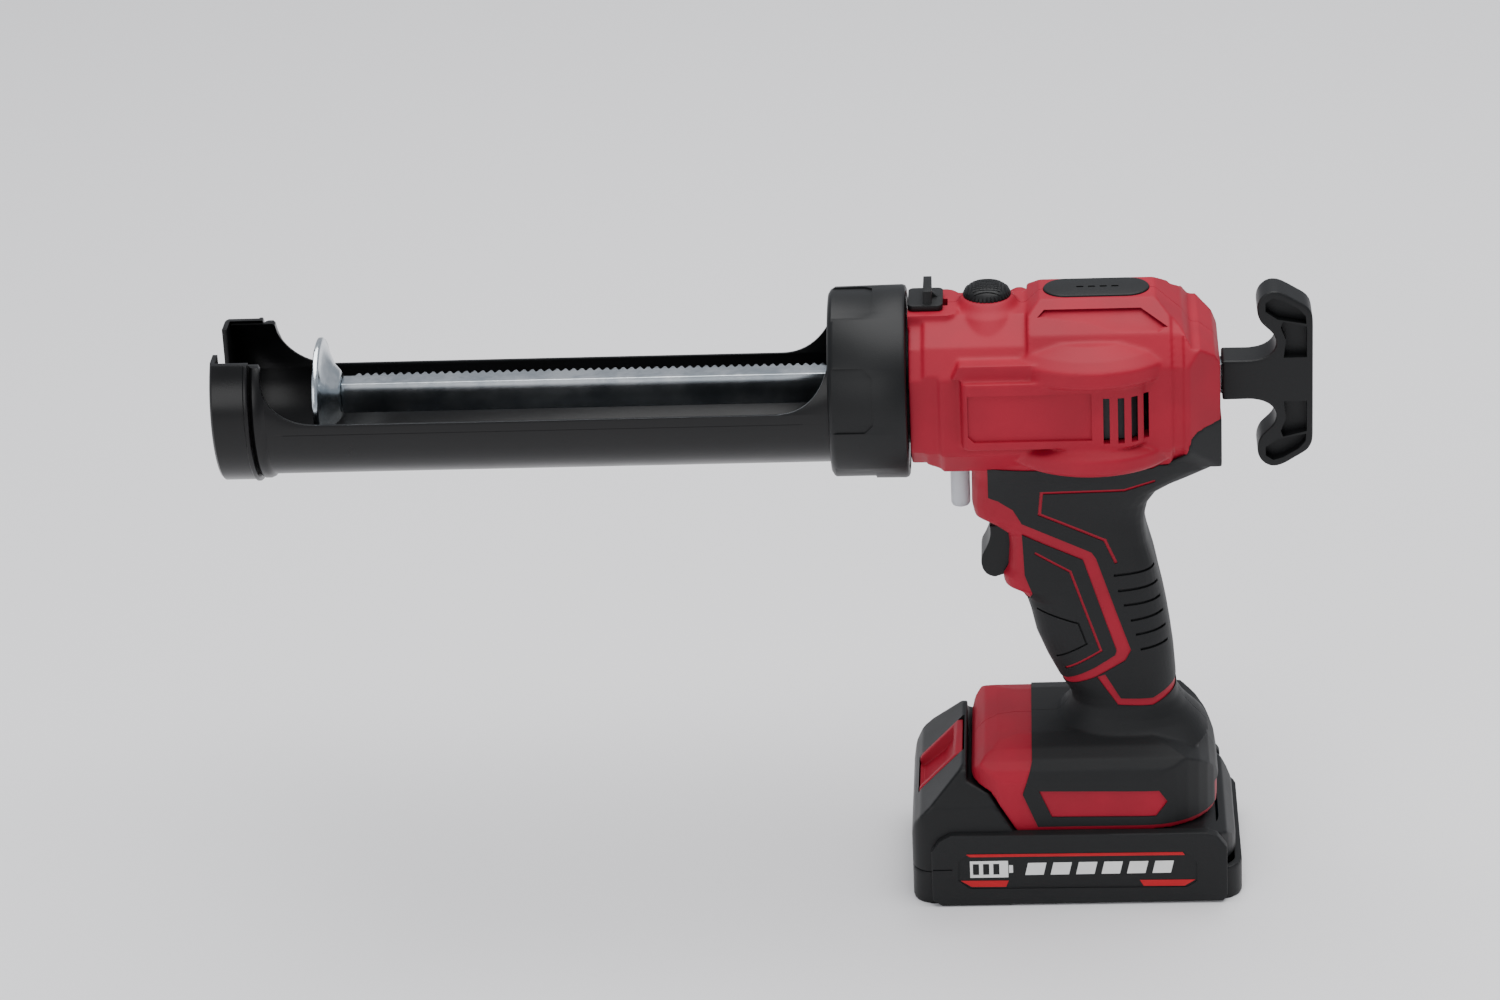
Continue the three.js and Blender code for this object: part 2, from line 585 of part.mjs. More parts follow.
// The upright bulge on each side: a drum between two wider rims, over the motor and the last gear.
function bulges(depth) {
  const pieces = [];
  for (const side of [-1, 1]) {
    const place = [DRIVE_X, side * BULGE_OFFSET];
    pieces.push(cylinder('z', place, BULGE_RADIUS - depth, BULGE_BOTTOM + depth, BULGE_TOP - depth, 32));
    if (depth === 0) {
      pieces.push(cylinder('z', place, BULGE_RIM_RADIUS, BULGE_TOP - 10.7, BULGE_TOP - 4.4, 32));
      pieces.push(cylinder('z', place, BULGE_RIM_RADIUS, BULGE_BOTTOM - 0.3, BULGE_BOTTOM + 4.2, 32));
    }
  }
  return pieces;
}

function gearHump(depth) {
  const plan = roundedRectangle(HUMP_FRONT_X + depth, HUMP_REAR_X - depth, HUMP_HALF_WIDTH - depth,
    4 - depth, HUMP_CORNER - depth);
  return alongZ(plan, HUMP_BOTTOM + depth, HUMP_TOP - depth);
}

function footSolid(depth) {
  const plan = roundedRectangle(FOOT_FRONT_X + depth, FOOT_REAR_X - depth, FOOT_HALF_WIDTH - depth,
    8 - depth, 24 - depth);
  const profile = alongY(inset(footProfile, depth), -50, 50);
  const section = alongX(inset(footSection, depth), -60, 60);
  return alongZ(plan, 20, 70).intersect(profile).intersect(section);
}

// ---------------------------------------------------------------- housing halves

const screwPlaces = [[-27, 167], [-17, 206.5], [32, 204], [33, 167], [19, 100], [16, 72]];
const windowBottom = 114.5;
const dialX = -28;
const railSlotHalfWidth = RAIL_HALF_WIDTH + 0.8;

function housingOutside() {
  const neck = cylinder('x', [0, AXIS_HEIGHT], NECK_RADIUS, collarRearX + 0.5, BODY_FRONT_X + 3, 36);
  const switchPlinth = block(collarRearX + 0.5, -39.2, -12, 12, BODY_TOP - 11, BODY_TOP + 0.5);
  const dialBoss = cylinder('z', [dialX, 0], 11, BODY_TOP - 4, BODY_TOP + 0.8, 32, 8.6);
  const grip = alongY(gripOutline, -GRIP_HALF_WIDTH, GRIP_HALF_WIDTH);
  return joined(bodySolid(0), ...bulges(0), gearHump(0), neck, switchPlinth, dialBoss, grip, footSolid(0));
}

function housingInside() {
  const gripInner = alongY(inset(gripHollow, SHELL_WALL), -GRIP_HALF_WIDTH + SHELL_WALL,
    GRIP_HALF_WIDTH - SHELL_WALL);
  const gripToBody = block(-20, 24, -12, 12, 140, BODY_BOTTOM + 4);
  const gripToFoot = block(3, 33, -12, 12, FOOT_TOP - 6, 64);
  const footInner = cut(footSolid(SHELL_WALL), block(-60, 60, -40, 40, 20, FOOT_BOTTOM + 3.4));
  return joined(bodySolid(SHELL_WALL), ...bulges(SHELL_WALL), gearHump(SHELL_WALL), gripInner, gripToBody,
    gripToFoot, footInner);
}

function housingOpenings() {
  const neckBore = cylinder('x', [0, AXIS_HEIGHT], NECK_RADIUS - NECK_WALL, collarRearX, BODY_FRONT_X + 8, 36);
  const rodHole = block(BODY_REAR_X - 8, BODY_REAR_X + 2, -ROD_BACK - 0.8, 5.8, rodBottom - 0.8, rodTop + 0.8);
  const trigger = block(-40, -12, -TRIGGER_HALF_WIDTH - RUN_GAP, TRIGGER_HALF_WIDTH + RUN_GAP, windowBottom,
    TRIGGER_TOP + 2 * RUN_GAP);
  const lampHole = cylinder('z', [LAMP_X, 0], 2.6, BODY_BOTTOM - 1, BODY_BOTTOM + 4, 20);
  const switchSlot = block(-50, -42.5, -3, 3, BODY_TOP - 12, BODY_TOP + 2);
  const dialHole = cylinder('z', [dialX, 0], 3.2, BODY_TOP - 8, BODY_TOP + 2, 24);
  const coverSeat = alongZ(roundedRectangle(-8.9, 28, 8.1, 8, 8), RIDGE_TOP - 1, RIDGE_TOP + 2);
  const railSlot = block(-42, FOOT_REAR_X - 4, -17, 17, 20, FOOT_BOTTOM + 3.6);
  const railMouth = block(-42, -20, -railSlotHalfWidth, railSlotHalfWidth, FOOT_BOTTOM - 8, 39);
  return [neckBore, rodHole, trigger, lampHole, switchSlot, dialHole, coverSeat, railSlot, railMouth];
}

// The slots are cut straight in from each side, the way the mould's core draws.
function ventSlots() {
  const slots = [];
  for (const x of VENT_PLACES) {
    for (const [from, to] of [[-HUMP_HALF_WIDTH - 1, -HUMP_CORNER - 8], [HUMP_CORNER + 8, HUMP_HALF_WIDTH + 1]]) {
      slots.push(block(x - VENT_WIDTH / 2, x + VENT_WIDTH / 2, from, to, HUMP_BOTTOM + 2, HUMP_TOP - 6));
    }
  }
  return slots;
}

// Screw posts reach in from both walls and meet at the split.
function screwPost([x, z]) {
  const reach = z > BODY_BOTTOM ? BODY_HALF_WIDTH - 1.5 : GRIP_HALF_WIDTH - 1.5;
  return cylinder('y', [x, z], SCREW_POST_RADIUS, -reach, reach, 12);
}

function screwHole([x, z]) {
  const outside = z > BODY_BOTTOM ? BODY_HALF_WIDTH : GRIP_HALF_WIDTH;
  const head = cylinder('y', [x, z], SCREW_HEAD_HOLE, outside - SCREW_HEAD_DEPTH, outside + 10, 12);
  const shank = cylinder('y', [x, z], 1.7, -outside + 5, outside, 10);
  return joined(head, shank);
}

function housingHalf(side) {
  const far = 80;
  const keep = side < 0
    ? block(-far, far, -far, -SPLIT_GAP, 0, 240)
    : block(-far, far, SPLIT_GAP, far, 0, 240);
  const shell = joined(cut(housingOutside(), housingInside()), ...screwPlaces.map(screwPost));
  const opened = cut(shell, ...housingOpenings(), ...ventSlots(), ...screwPlaces.map(screwHole));
  return opened.intersect(keep);
}

function gripPad(side) {
  const outline = inset(gripOutline, 1.4);
  const inner = GRIP_HALF_WIDTH + REST_GAP;
  const outer = inner + PAD_THICKNESS;
  const sheet = side < 0 ? alongY(outline, -outer, -inner) : alongY(outline, inner, outer);
  const above = block(-60, 60, -30, 30, BODY_BOTTOM - 0.5, 200);
  const below = block(-60, 60, -30, 30, 0, FOOT_TOP + 0.5);
  const strip = block(-60, -28, -30, 30, 100, 200);
  const holes = screwPlaces.map(([x, z]) => cylinder('y', [x, z], SCREW_HEAD_HOLE, inner - 1, outer + 1, 12));
  const screwSide = side > 0 ? holes : [];
  return cut(sheet, above, below, strip, ...screwSide);
}

function housingScrew([x, z]) {
  const outside = z > BODY_BOTTOM ? BODY_HALF_WIDTH : GRIP_HALF_WIDTH;
  const seat = outside - SCREW_HEAD_DEPTH + REST_GAP;
  const head = cylinder('y', [x, z], SCREW_HEAD_RADIUS, seat, seat + 2.2, 12);
  const shank = cylinder('y', [x, z], 1.4, -outside + 7, seat + 1, 8);
  const cross = block(x - 2, x + 2, seat + 1.2, seat + 3, z - 0.4, z + 0.4);
  return cut(joined(head, shank), cross);
}

// ---------------------------------------------------------------- inside the drive unit

function rodGuide(fromX, toX) {
  const plate = bodySolid(SHELL_WALL + REST_GAP).intersect(block(fromX, toX, -40, 40, 172, 202));
  const window = block(fromX - 1, toX + 1, -ROD_BACK - RUN_GAP, 5.4, rodBottom - RUN_GAP, rodTop + RUN_GAP);
  return cut(plate, window);
}

const motorBase = coverTop + REST_GAP;

// Round the three gear centres, and no wider than the housing's inside.
function gearboxOutline() {
  const wall = 1.7;
  const plan = joined(
    cylinder('z', drivePlace, driveGearRadius + DRIVE_GEAR_MODULE + wall, GEARBOX_BELOW, GEARBOX_ABOVE, 36),
    cylinder('z', idlerPlace, idlerGearRadius + IDLER_GEAR_MODULE + wall, GEARBOX_BELOW, GEARBOX_ABOVE, 36),
    cylinder('z', motorPlace, MOTOR_RADIUS - 1.5, GEARBOX_BELOW, GEARBOX_ABOVE, 28));
  const drum = cylinder('z', [DRIVE_X, -BULGE_OFFSET], BULGE_RADIUS - SHELL_WALL - 1.2,
    BULGE_BOTTOM + SHELL_WALL + REST_GAP, 200, 32);
  return plan.intersect(bodySolid(SHELL_WALL + REST_GAP).add(drum));
}

function gearboxCase() {
  const walls = gearboxOutline().intersect(block(-40, 40, -40, 40, caseFloor - 2, coverBottom - 0.2));
  const lower = [
    cylinder('z', idlerPlace, idlerGearRadius + IDLER_GEAR_MODULE + 0.5, caseFloor, coverBottom + 1, 40),
    cylinder('z', motorPlace, motorPinionRadius + IDLER_GEAR_MODULE + 0.5, caseFloor, coverBottom + 1, 24),
  ];
  const upper = cylinder('z', drivePlace, driveGearRadius + DRIVE_GEAR_MODULE + 0.5, lowerGearTop + 0.3,
    coverBottom + 1, 48);
  const shaftSeats = [
    cylinder('z', idlerPlace, IDLER_SHAFT_RADIUS + 0.1, caseFloor - 3, caseFloor + 1, 20),
    cylinder('z', drivePlace, DRIVE_SHAFT_RADIUS + REST_GAP, caseFloor - 3, lowerGearTop + 1, 24),
  ];
  return cut(walls, ...lower, upper, ...shaftSeats);
}

function gearboxCover() {
  const plate = gearboxOutline().intersect(block(-40, 40, -40, 40, coverBottom, coverTop));
  return cut(plate,
    cylinder('z', drivePlace, DRIVE_SHAFT_RADIUS + REST_GAP, GEARBOX_BELOW, GEARBOX_ABOVE, 24),
    cylinder('z', idlerPlace, IDLER_SHAFT_RADIUS + 0.1, GEARBOX_BELOW, GEARBOX_ABOVE, 20),
    cylinder('z', motorPlace, motorPinionRadius + IDLER_GEAR_MODULE + 0.5, GEARBOX_BELOW, GEARBOX_ABOVE, 24));
}

// Carries the top of the drive shaft: a small plate on two posts, across the rack.
function topBearingPlate() {
  const bottom = drivePinionTop + 0.6;
  const plate = block(DRIVE_X - 10, DRIVE_X + 10, 3.5, 20.5, bottom, bottom + 3);
  const posts = [-7.5, 7.5].map((offset) =>
    cylinder('z', [DRIVE_X + offset, 17.8], 2.3, coverTop + REST_GAP, bottom + 0.5, 20));
  return cut(joined(plate, ...posts), cylinder('z', drivePlace, DRIVE_SHAFT_RADIUS + REST_GAP, GEARBOX_BELOW, BODY_TOP, 24));
}

function motorCan() {
  const can = cylinder('z', motorPlace, MOTOR_RADIUS, motorBase, motorBase + MOTOR_LENGTH, 40);
  return cut(can, cylinder('z', motorPlace, 2, motorBase - 1, motorBase + MOTOR_LENGTH + 1, 20));
}

function motorEndcap() {
  const bottom = motorBase + MOTOR_LENGTH + REST_GAP;
  const cap = cylinder('z', motorPlace, MOTOR_RADIUS - 1, bottom, bottom + 2, 32);
  return cut(cap, cylinder('z', motorPlace, 1, bottom - 1, bottom + 4, 16));
}

function triggerBody() {
  const shape = new THREE.Shape();
  shape.moveTo(-29.5, TRIGGER_TOP);
  shape.bezierCurveTo(-28.5, 130, -30.5, 127, -32.2, 123.6);
  shape.bezierCurveTo(-33.2, 119.5, -31.5, 115.4, -27.5, 115.4);
  shape.lineTo(-22.6, 117);
  shape.lineTo(-15, 117);
  shape.lineTo(-15, TRIGGER_TOP);
  return alongY(shape, -TRIGGER_HALF_WIDTH, TRIGGER_HALF_WIDTH);
}

function triggerSwitch() {
  const caseBlock = block(-7, 10, -8, 8, 115, 137);
  const plunger = cylinder('x', [0, 120.5], 2, -9.2, -6, 16);
  return joined(caseBlock, plunger);
}

// A round-wire compression spring standing on z = 0, with `turns` turns over `height`.
function coilSpring(radius, wire, height, turns) {
  const points = [];
  const perTurn = 8;
  const steps = turns * perTurn;
  for (let step = 0; step <= steps; step += 1) {
    const angle = step / perTurn * 2 * Math.PI;
    points.push(new THREE.Vector3(radius * Math.cos(angle), radius * Math.sin(angle),
      wire + (height - 2 * wire) * step / steps));
  }
  const path = new THREE.CatmullRomCurve3(points);
  const section = new THREE.Shape();
  section.absarc(0, 0, wire, 0, Math.PI * 2);
  return solidOf(new THREE.ExtrudeGeometry(section, {
    steps, curveSegments: 2, extrudePath: path, bevelEnabled: false,
  }));
}

function triggerSpring() {
  return coilSpring(2.6, 0.4, 7.4, 6).rotate([0, 90, 0]).translate([-14.7, 0, 128.5]);
}

function slideButton() {
  const base = BODY_TOP + 0.8;
  const body = block(collarRearX + 0.8, -43, -9, 9, base, base + 3.8);
  const fin = block(-51, -48.6, -8, 8, base + 3.5, base + 8.8);
  const stem = block(-49.6, -46.2, -2.4, 2.4, BODY_TOP - 3, base + 0.5);
  return joined(body, fin, stem);
}

function slideSwitch() {
  return block(-47.2, -41.2, -5, 5, BODY_TOP - 12.2, BODY_TOP - 3.4);
}

function speedDial() {
  const base = BODY_TOP + 1.1;
  const disc = cylinder('z', [dialX, 0], 7.8, base, base + 4, 40, 7.2);
  const stem = cylinder('z', [dialX, 0], 2.6, BODY_TOP - 6, base + 0.5, 20);
  const pointer = block(dialX - 6, dialX - 2, -0.5, 0.5, base + 3.5, base + 5);
  return cut(joined(disc, stem), pointer);
}

function dialSensor() {
  return cylinder('z', [dialX, 0], 6, BODY_TOP - 12, BODY_TOP - 6.4, 24);
}

function indicatorCover() {
  return alongZ(roundedRectangle(-8.6, 27.7, 7.8, 7.7, 7.7), RIDGE_TOP - 0.7, RIDGE_TOP + 0.6);
}

function indicatorBoard() {
  return block(-8, 27, -6, 6, RIDGE_TOP - 8, RIDGE_TOP - 6.4);
}

function workLightLens() {
  const barrelPart = cylinder('z', [LAMP_X, 0], LAMP_RADIUS, 141.2, BODY_BOTTOM - 0.3, 28);
  const nose = cylinder('z', [LAMP_X, 0], 2.4, 140.4, 141.3, 28, LAMP_RADIUS);
  const spigot = cylinder('z', [LAMP_X, 0], 2.2, BODY_BOTTOM - 1, BODY_BOTTOM + 2.8, 20);
  return joined(barrelPart, nose, spigot);
}

function ledBoard() {
  return block(LAMP_X - 3.9, LAMP_X + 3.9, -5, 5, BODY_BOTTOM + 3.1, BODY_BOTTOM + 4.7);
}

// A fine mesh screen behind the vent slots, bent to the hump's inside.
function ventScreen(side) {
  const centreX = HUMP_REAR_X - HUMP_CORNER;
  const centreY = HUMP_HALF_WIDTH - HUMP_CORNER;
  const outer = HUMP_CORNER - SHELL_WALL - REST_GAP;
  const thickness = 0.5;
  const endAngle = 0.12;
  const shape = new THREE.Shape();
  shape.absarc(centreX, centreY, outer, endAngle, Math.PI / 2);
  shape.lineTo(VENT_PLACES[0] - 2.5, centreY + outer);
  shape.lineTo(VENT_PLACES[0] - 2.5, centreY + outer - thickness);
  shape.absarc(centreX, centreY, outer - thickness, Math.PI / 2, endAngle, true);
  const screen = alongZ(shape, HUMP_BOTTOM + SHELL_WALL + REST_GAP, HUMP_TOP - SHELL_WALL - REST_GAP);
  return side > 0 ? screen : screen.mirror([0, 1, 0]);
}

function controlBoard() {
  return block(-24, 38, -20, 20, 48.2, 49.8);
}

function terminalBlock() {
  return block(2, 26, -13, 13, RAIL_TOP + 1.5, RAIL_TOP + 9);
}

// ---------------------------------------------------------------- battery

const batteryFront = BATTERY_CENTRE_X - BATTERY_LENGTH / 2;
const batteryRear = batteryFront + BATTERY_LENGTH;
const latchFront = -53;
const latchRear = -40.8;
const latchHalfWidth = 13;

function batteryPlan(depth) {
  return roundedRectangle(batteryFront + depth, batteryRear - depth, BATTERY_HALF_WIDTH - depth,
    8 - depth, 8 - depth);
}

// The front slope and the step that meets the foot's own front edge.
const upperProfile = [
  [batteryFront, BATTERY_SPLIT + REST_GAP], [batteryRear, BATTERY_SPLIT + REST_GAP],
  [batteryRear, BATTERY_TOP - 3], [batteryRear - 3, BATTERY_TOP], [-22.6, BATTERY_TOP], [-31.6, 41.9],
  [-39.2, 45.9], [-39.2, 48.2], [-54, 33.5], [-57, 29], [batteryFront, 20],
];
const upperSection = mirrored([
  [BATTERY_HALF_WIDTH, BATTERY_SPLIT], [BATTERY_HALF_WIDTH, BATTERY_TOP], [34.5, 38], [27, 49],
]);

function batteryLower() {
  const outside = alongZ(batteryPlan(0), 0, BATTERY_SPLIT);
  return cut(outside, alongZ(batteryPlan(BATTERY_WALL), BATTERY_WALL, BATTERY_SPLIT + 1));
}

function batteryUpper() {
  const outside = alongZ(batteryPlan(0), BATTERY_SPLIT, 60)
    .intersect(alongY(upperProfile, -50, 50))
    .intersect(alongX(upperSection, -70, 70));
  const inside = alongZ(batteryPlan(BATTERY_WALL), BATTERY_SPLIT - 1, BATTERY_TOP - BATTERY_WALL);
  const stem = block(-33, 40, -RAIL_STEM_HALF_WIDTH, RAIL_STEM_HALF_WIDTH, BATTERY_TOP - 1, RAIL_TOP);
  const flange = block(-33, 40, -RAIL_HALF_WIDTH, RAIL_HALF_WIDTH, RAIL_TOP - RAIL_FLANGE, RAIL_TOP);
  const railHollow = block(-18, 37, -13.5, 13.5, BATTERY_TOP - 4, RAIL_TOP - 2.5);
  const latchWell = block(latchFront - 0.4, latchRear + 0.4, -latchHalfWidth - 0.4, latchHalfWidth + 0.4,
    BATTERY_SPLIT, 60);
  return cut(joined(outside, stem, flange), inside, railHollow, latchWell);
}

function batteryBumper(side) {
  const shape = roundedRectangle(-BUMPER_LENGTH / 2, BUMPER_LENGTH / 2, 13, 3, 3);
  const near = BATTERY_HALF_WIDTH + REST_GAP;
  const far = near + BUMPER_THICKNESS;
  const plate = side < 0 ? alongY(shape, -far, -near) : alongY(shape, near, far);
  return plate.translate([0, 0, 14.2]);
}

function latchButton() {
  const slope = [[latchFront, 30], [latchRear, 30], [latchRear, 46.4], [latchFront, 34.3]];
  const scoop = [[latchFront - 1, 36], [latchFront + 3.4, 33.2], [latchRear - 2.4, 42], [latchRear - 2.4, 60]];
  const body = alongY(slope, -latchHalfWidth, latchHalfWidth);
  return cut(body, alongY(scoop, -latchHalfWidth + 2, latchHalfWidth - 2));
}

function latchSpring() {
  return coilSpring(3, 0.4, 5, 4).translate([-46.5, 0, BATTERY_TOP - 2.6]);
}

function batteryCell(index) {
  const x = (index - (CELL_COUNT - 1) / 2) * CELL_PITCH;
  const can = cylinder('y', [x, BATTERY_WALL + REST_GAP + CELL_RADIUS], CELL_RADIUS, -CELL_LENGTH / 2,
    CELL_LENGTH / 2 - 1, 24);
  const nub = cylinder('y', [x, BATTERY_WALL + REST_GAP + CELL_RADIUS], 2.8, CELL_LENGTH / 2 - 1.2,
    CELL_LENGTH / 2, 16);
  return joined(can, nub);
}

function batteryBoard() {
  return block(-36, 45, -28, 28, 22.2, 23.8);
}

function batteryTerminals() {
  const base = block(2, 14, -11, 11, 24.1, 26.6);
  const blades = [-8, 0, 8].map((y) => block(3, 13, y - 0.4, y + 0.4, 26, 31.5));
  return joined(base, ...blades);
}

// ---------------------------------------------------------------- assembly

addPiece('barrel', barrel(), BLACK_PAINT);
addPiece('front_cap', frontCap(), BLACK_PAINT);
addPiece('collar_nut', collarNut(), BLACK_PLASTIC);
addPiece('barrel_socket', barrelSocket(), BLACK_PLASTIC);

addPiece('push_rod', pushRod(), ZINC);
addPiece('plunger_disc', plungerDisc(), ZINC);
addPiece('plunger_screw', plungerScrew(), STEEL);
addPiece('pull_handle', pullHandle(), BLACK_PLASTIC);
addPiece('handle_pin', handlePin(), STEEL);

addPiece('housing_left', housingHalf(-1), RED_PLASTIC);
addPiece('housing_right', housingHalf(1), RED_PLASTIC);
addPiece('grip_overmould_left', gripPad(-1), SOFT_BLACK);
addPiece('grip_overmould_right', gripPad(1), SOFT_BLACK);
screwPlaces.forEach((place, index) => addPiece(`housing_screw_${index + 1}`, housingScrew(place), STEEL));

addPiece('front_rod_guide', rodGuide(-40, -34), BLACK_PLASTIC);
addPiece('rear_rod_guide', rodGuide(39.5, 45.5), BLACK_PLASTIC);
addPiece('gearbox_case', gearboxCase(), BLACK_PLASTIC);
addPiece('gearbox_cover', gearboxCover(), BLACK_PLASTIC);
addPiece('top_bearing_plate', topBearingPlate(), STEEL);
addPiece('drive_shaft', driveShaft(), STEEL);
addPiece('drive_pinion', drivePinion(), STEEL);
addPiece('drive_gear', driveGear(), STEEL);
addPiece('idler_gear', idlerGear(), STEEL);
addPiece('idler_shaft', idlerShaft(), STEEL);
addPiece('motor_pinion', motorPinion(), BRASS);
addPiece('motor_can', motorCan(), STEEL);
addPiece('motor_endcap', motorEndcap(), BLACK_PLASTIC);

addPiece('trigger', triggerBody(), BLACK_PLASTIC);
addPiece('trigger_spring', triggerSpring(), STEEL);
addPiece('trigger_switch', triggerSwitch(), BLACK_PLASTIC);
addPiece('slide_button', slideButton(), BLACK_PLASTIC);
addPiece('slide_switch', slideSwitch(), BLACK_PLASTIC);
addPiece('speed_dial', speedDial(), BLACK_PLASTIC);
addPiece('dial_sensor', dialSensor(), BLACK_PLASTIC);
addPiece('indicator_cover', indicatorCover(), BLACK_PLASTIC);
addPiece('indicator_board', indicatorBoard(), BOARD_GREEN);
addPiece('work_light_lens', workLightLens(), CLEAR_PLASTIC);
addPiece('led_board', ledBoard(), BOARD_GREEN);
addPiece('vent_screen_left', ventScreen(-1), STEEL);
addPiece('vent_screen_right', ventScreen(1), STEEL);
addPiece('control_board', controlBoard(), BOARD_GREEN);
addPiece('terminal_block', terminalBlock(), BLACK_PLASTIC);

addPiece('battery_case_lower', batteryLower(), BLACK_PLASTIC);
addPiece('battery_case_upper', batteryUpper(), BLACK_PLASTIC);
addPiece('battery_bumper_left', batteryBumper(-1), SOFT_BLACK);
addPiece('battery_bumper_right', batteryBumper(1), SOFT_BLACK);
addPiece('latch_button', latchButton(), RED_PLASTIC);
addPiece('latch_spring', latchSpring(), STEEL);
for (let index = 0; index < CELL_COUNT; index += 1) {
  addPiece(`battery_cell_${index + 1}`, batteryCell(index), CELL_WRAP);
}
addPiece('battery_board', batteryBoard(), BOARD_GREEN);
addPiece('battery_terminals', batteryTerminals(), BRASS);

export default model;
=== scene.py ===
"""Looks of a cordless caulking gun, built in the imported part's frame. Sizes are in millimetres."""

import json
import math

import bmesh
import bpy
from mathutils import Matrix, Vector


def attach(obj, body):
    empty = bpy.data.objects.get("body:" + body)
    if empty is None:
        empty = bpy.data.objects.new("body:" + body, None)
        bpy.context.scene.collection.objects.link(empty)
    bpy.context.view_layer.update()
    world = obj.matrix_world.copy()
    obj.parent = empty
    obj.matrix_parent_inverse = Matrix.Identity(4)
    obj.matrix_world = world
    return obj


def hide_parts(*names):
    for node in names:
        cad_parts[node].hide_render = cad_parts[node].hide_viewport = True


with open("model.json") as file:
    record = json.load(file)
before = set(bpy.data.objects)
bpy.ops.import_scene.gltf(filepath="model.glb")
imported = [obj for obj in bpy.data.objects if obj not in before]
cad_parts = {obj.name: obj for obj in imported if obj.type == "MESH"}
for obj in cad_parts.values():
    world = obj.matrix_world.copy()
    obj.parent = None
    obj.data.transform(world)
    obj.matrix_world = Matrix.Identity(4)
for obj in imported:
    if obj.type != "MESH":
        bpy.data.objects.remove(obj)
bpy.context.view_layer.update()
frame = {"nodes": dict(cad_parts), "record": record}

# ------------------------------------------------------------------ barrel
# The cartridge carriage: a rolled steel tube, 55 mm across, with its upper half cut away so that a cartridge
# drops in. Sheet steel of 1 mm, a bead rolled behind the cap, and satin black powder coat with faint scuffs.

MM = 0.001
AXIS_Z = 188.0


def piece_from(name, points, faces):
    mesh = bpy.data.meshes.new(name)
    mesh.from_pydata([Vector(point) * MM for point in points], [], faces)
    tidy = bmesh.new()
    tidy.from_mesh(mesh)
    bmesh.ops.remove_doubles(tidy, verts=tidy.verts, dist=1e-7)
    bmesh.ops.recalc_face_normals(tidy, faces=tidy.faces)
    tidy.to_mesh(mesh)
    tidy.free()
    piece = bpy.data.objects.new(name, mesh)
    bpy.context.scene.collection.objects.link(piece)
    return piece


def lathe(name, profile, sides=96, axis="x", centre=(0.0, AXIS_Z)):
    """Turns a closed profile of (place along the axis, radius) pairs about an axis."""
    points = []
    faces = []
    count = len(profile)
    for step in range(sides):
        angle = 2 * math.pi * step / sides
        for along, radius in profile:
            across = centre[0] + radius * math.cos(angle)
            up = centre[1] + radius * math.sin(angle)
            orders = {"x": (along, across, up), "y": (across, along, up), "z": (across, up, along)}
            points.append(orders[axis])
        following = (step + 1) % sides
        for index in range(count):
            after = (index + 1) % count
            faces.append((step * count + index, step * count + after,
                          following * count + after, following * count + index))
    return piece_from(name, points, faces)


def prism(name, outline, start, end, axis="y"):
    """Draws an outline of the other two axes out along one axis."""
    place = {"x": lambda u, v, w: (w, u, v),
             "y": lambda u, v, w: (u, w, v),
             "z": lambda u, v, w: (u, v, w)}[axis]
    count = len(outline)
    points = [place(u, v, start) for u, v in outline] + [place(u, v, end) for u, v in outline]
    sides = [(i, (i + 1) % count, (i + 1) % count + count, i + count) for i in range(count)]
    return piece_from(name, points, [tuple(range(count)), tuple(range(count, 2 * count)), *sides])


def block(x0, x1, y0, y1, z0, z1):
    return prism("block", [(x0, y0), (x1, y0), (x1, y1), (x0, y1)], z0, z1, "z")


def span(side, near, far):
    """A stretch across one side of the middle plane, lower end first."""
    return sorted((near * side, far * side))


def bent(start, first, second, end, steps=14):
    """Points along a Bezier curve."""
    guides = (start, first, second, end)
    points = []
    for step in range(steps + 1):
        t = step / steps
        shares = ((1 - t) ** 3, 3 * t * (1 - t) ** 2, 3 * t * t * (1 - t), t ** 3)
        points.append(tuple(sum(s * p[k] for s, p in zip(shares, guides)) for k in (0, 1)))
    return points


def baked(piece):
    """Makes the result of the piece's modifiers its own mesh."""
    depsgraph = bpy.context.evaluated_depsgraph_get()
    mesh = bpy.data.meshes.new_from_object(piece.evaluated_get(depsgraph))
    piece.modifiers.clear()
    piece.data = mesh
    return piece


def changed(piece, kind, **settings):
    modifier = piece.modifiers.new(kind, kind)
    for setting, value in settings.items():
        setattr(modifier, setting, value)
    return baked(piece)


def combined(piece, operation, tools):
    for tool in tools:
        changed(piece, "BOOLEAN", operation=operation, solver="MANIFOLD", object=tool)
        bpy.data.objects.remove(tool)
    return piece


def cut(piece, *tools):
    return combined(piece, "DIFFERENCE", tools)


def fused(piece, *tools):
    return combined(piece, "UNION", tools)


def shared(piece, *tools):
    return combined(piece, "INTERSECT", tools)


def edged(piece, width, segments=2):
    """Rounds every edge sharper than 35 degrees."""
    return changed(piece, "BEVEL", width=width * MM, segments=segments, limit_method="ANGLE",
                   angle_limit=math.radians(35.0), harden_normals=False)


def copied(piece):
    twin = bpy.data.objects.new(piece.name + "_copy", piece.data.copy())
    bpy.context.scene.collection.objects.link(twin)
    return twin


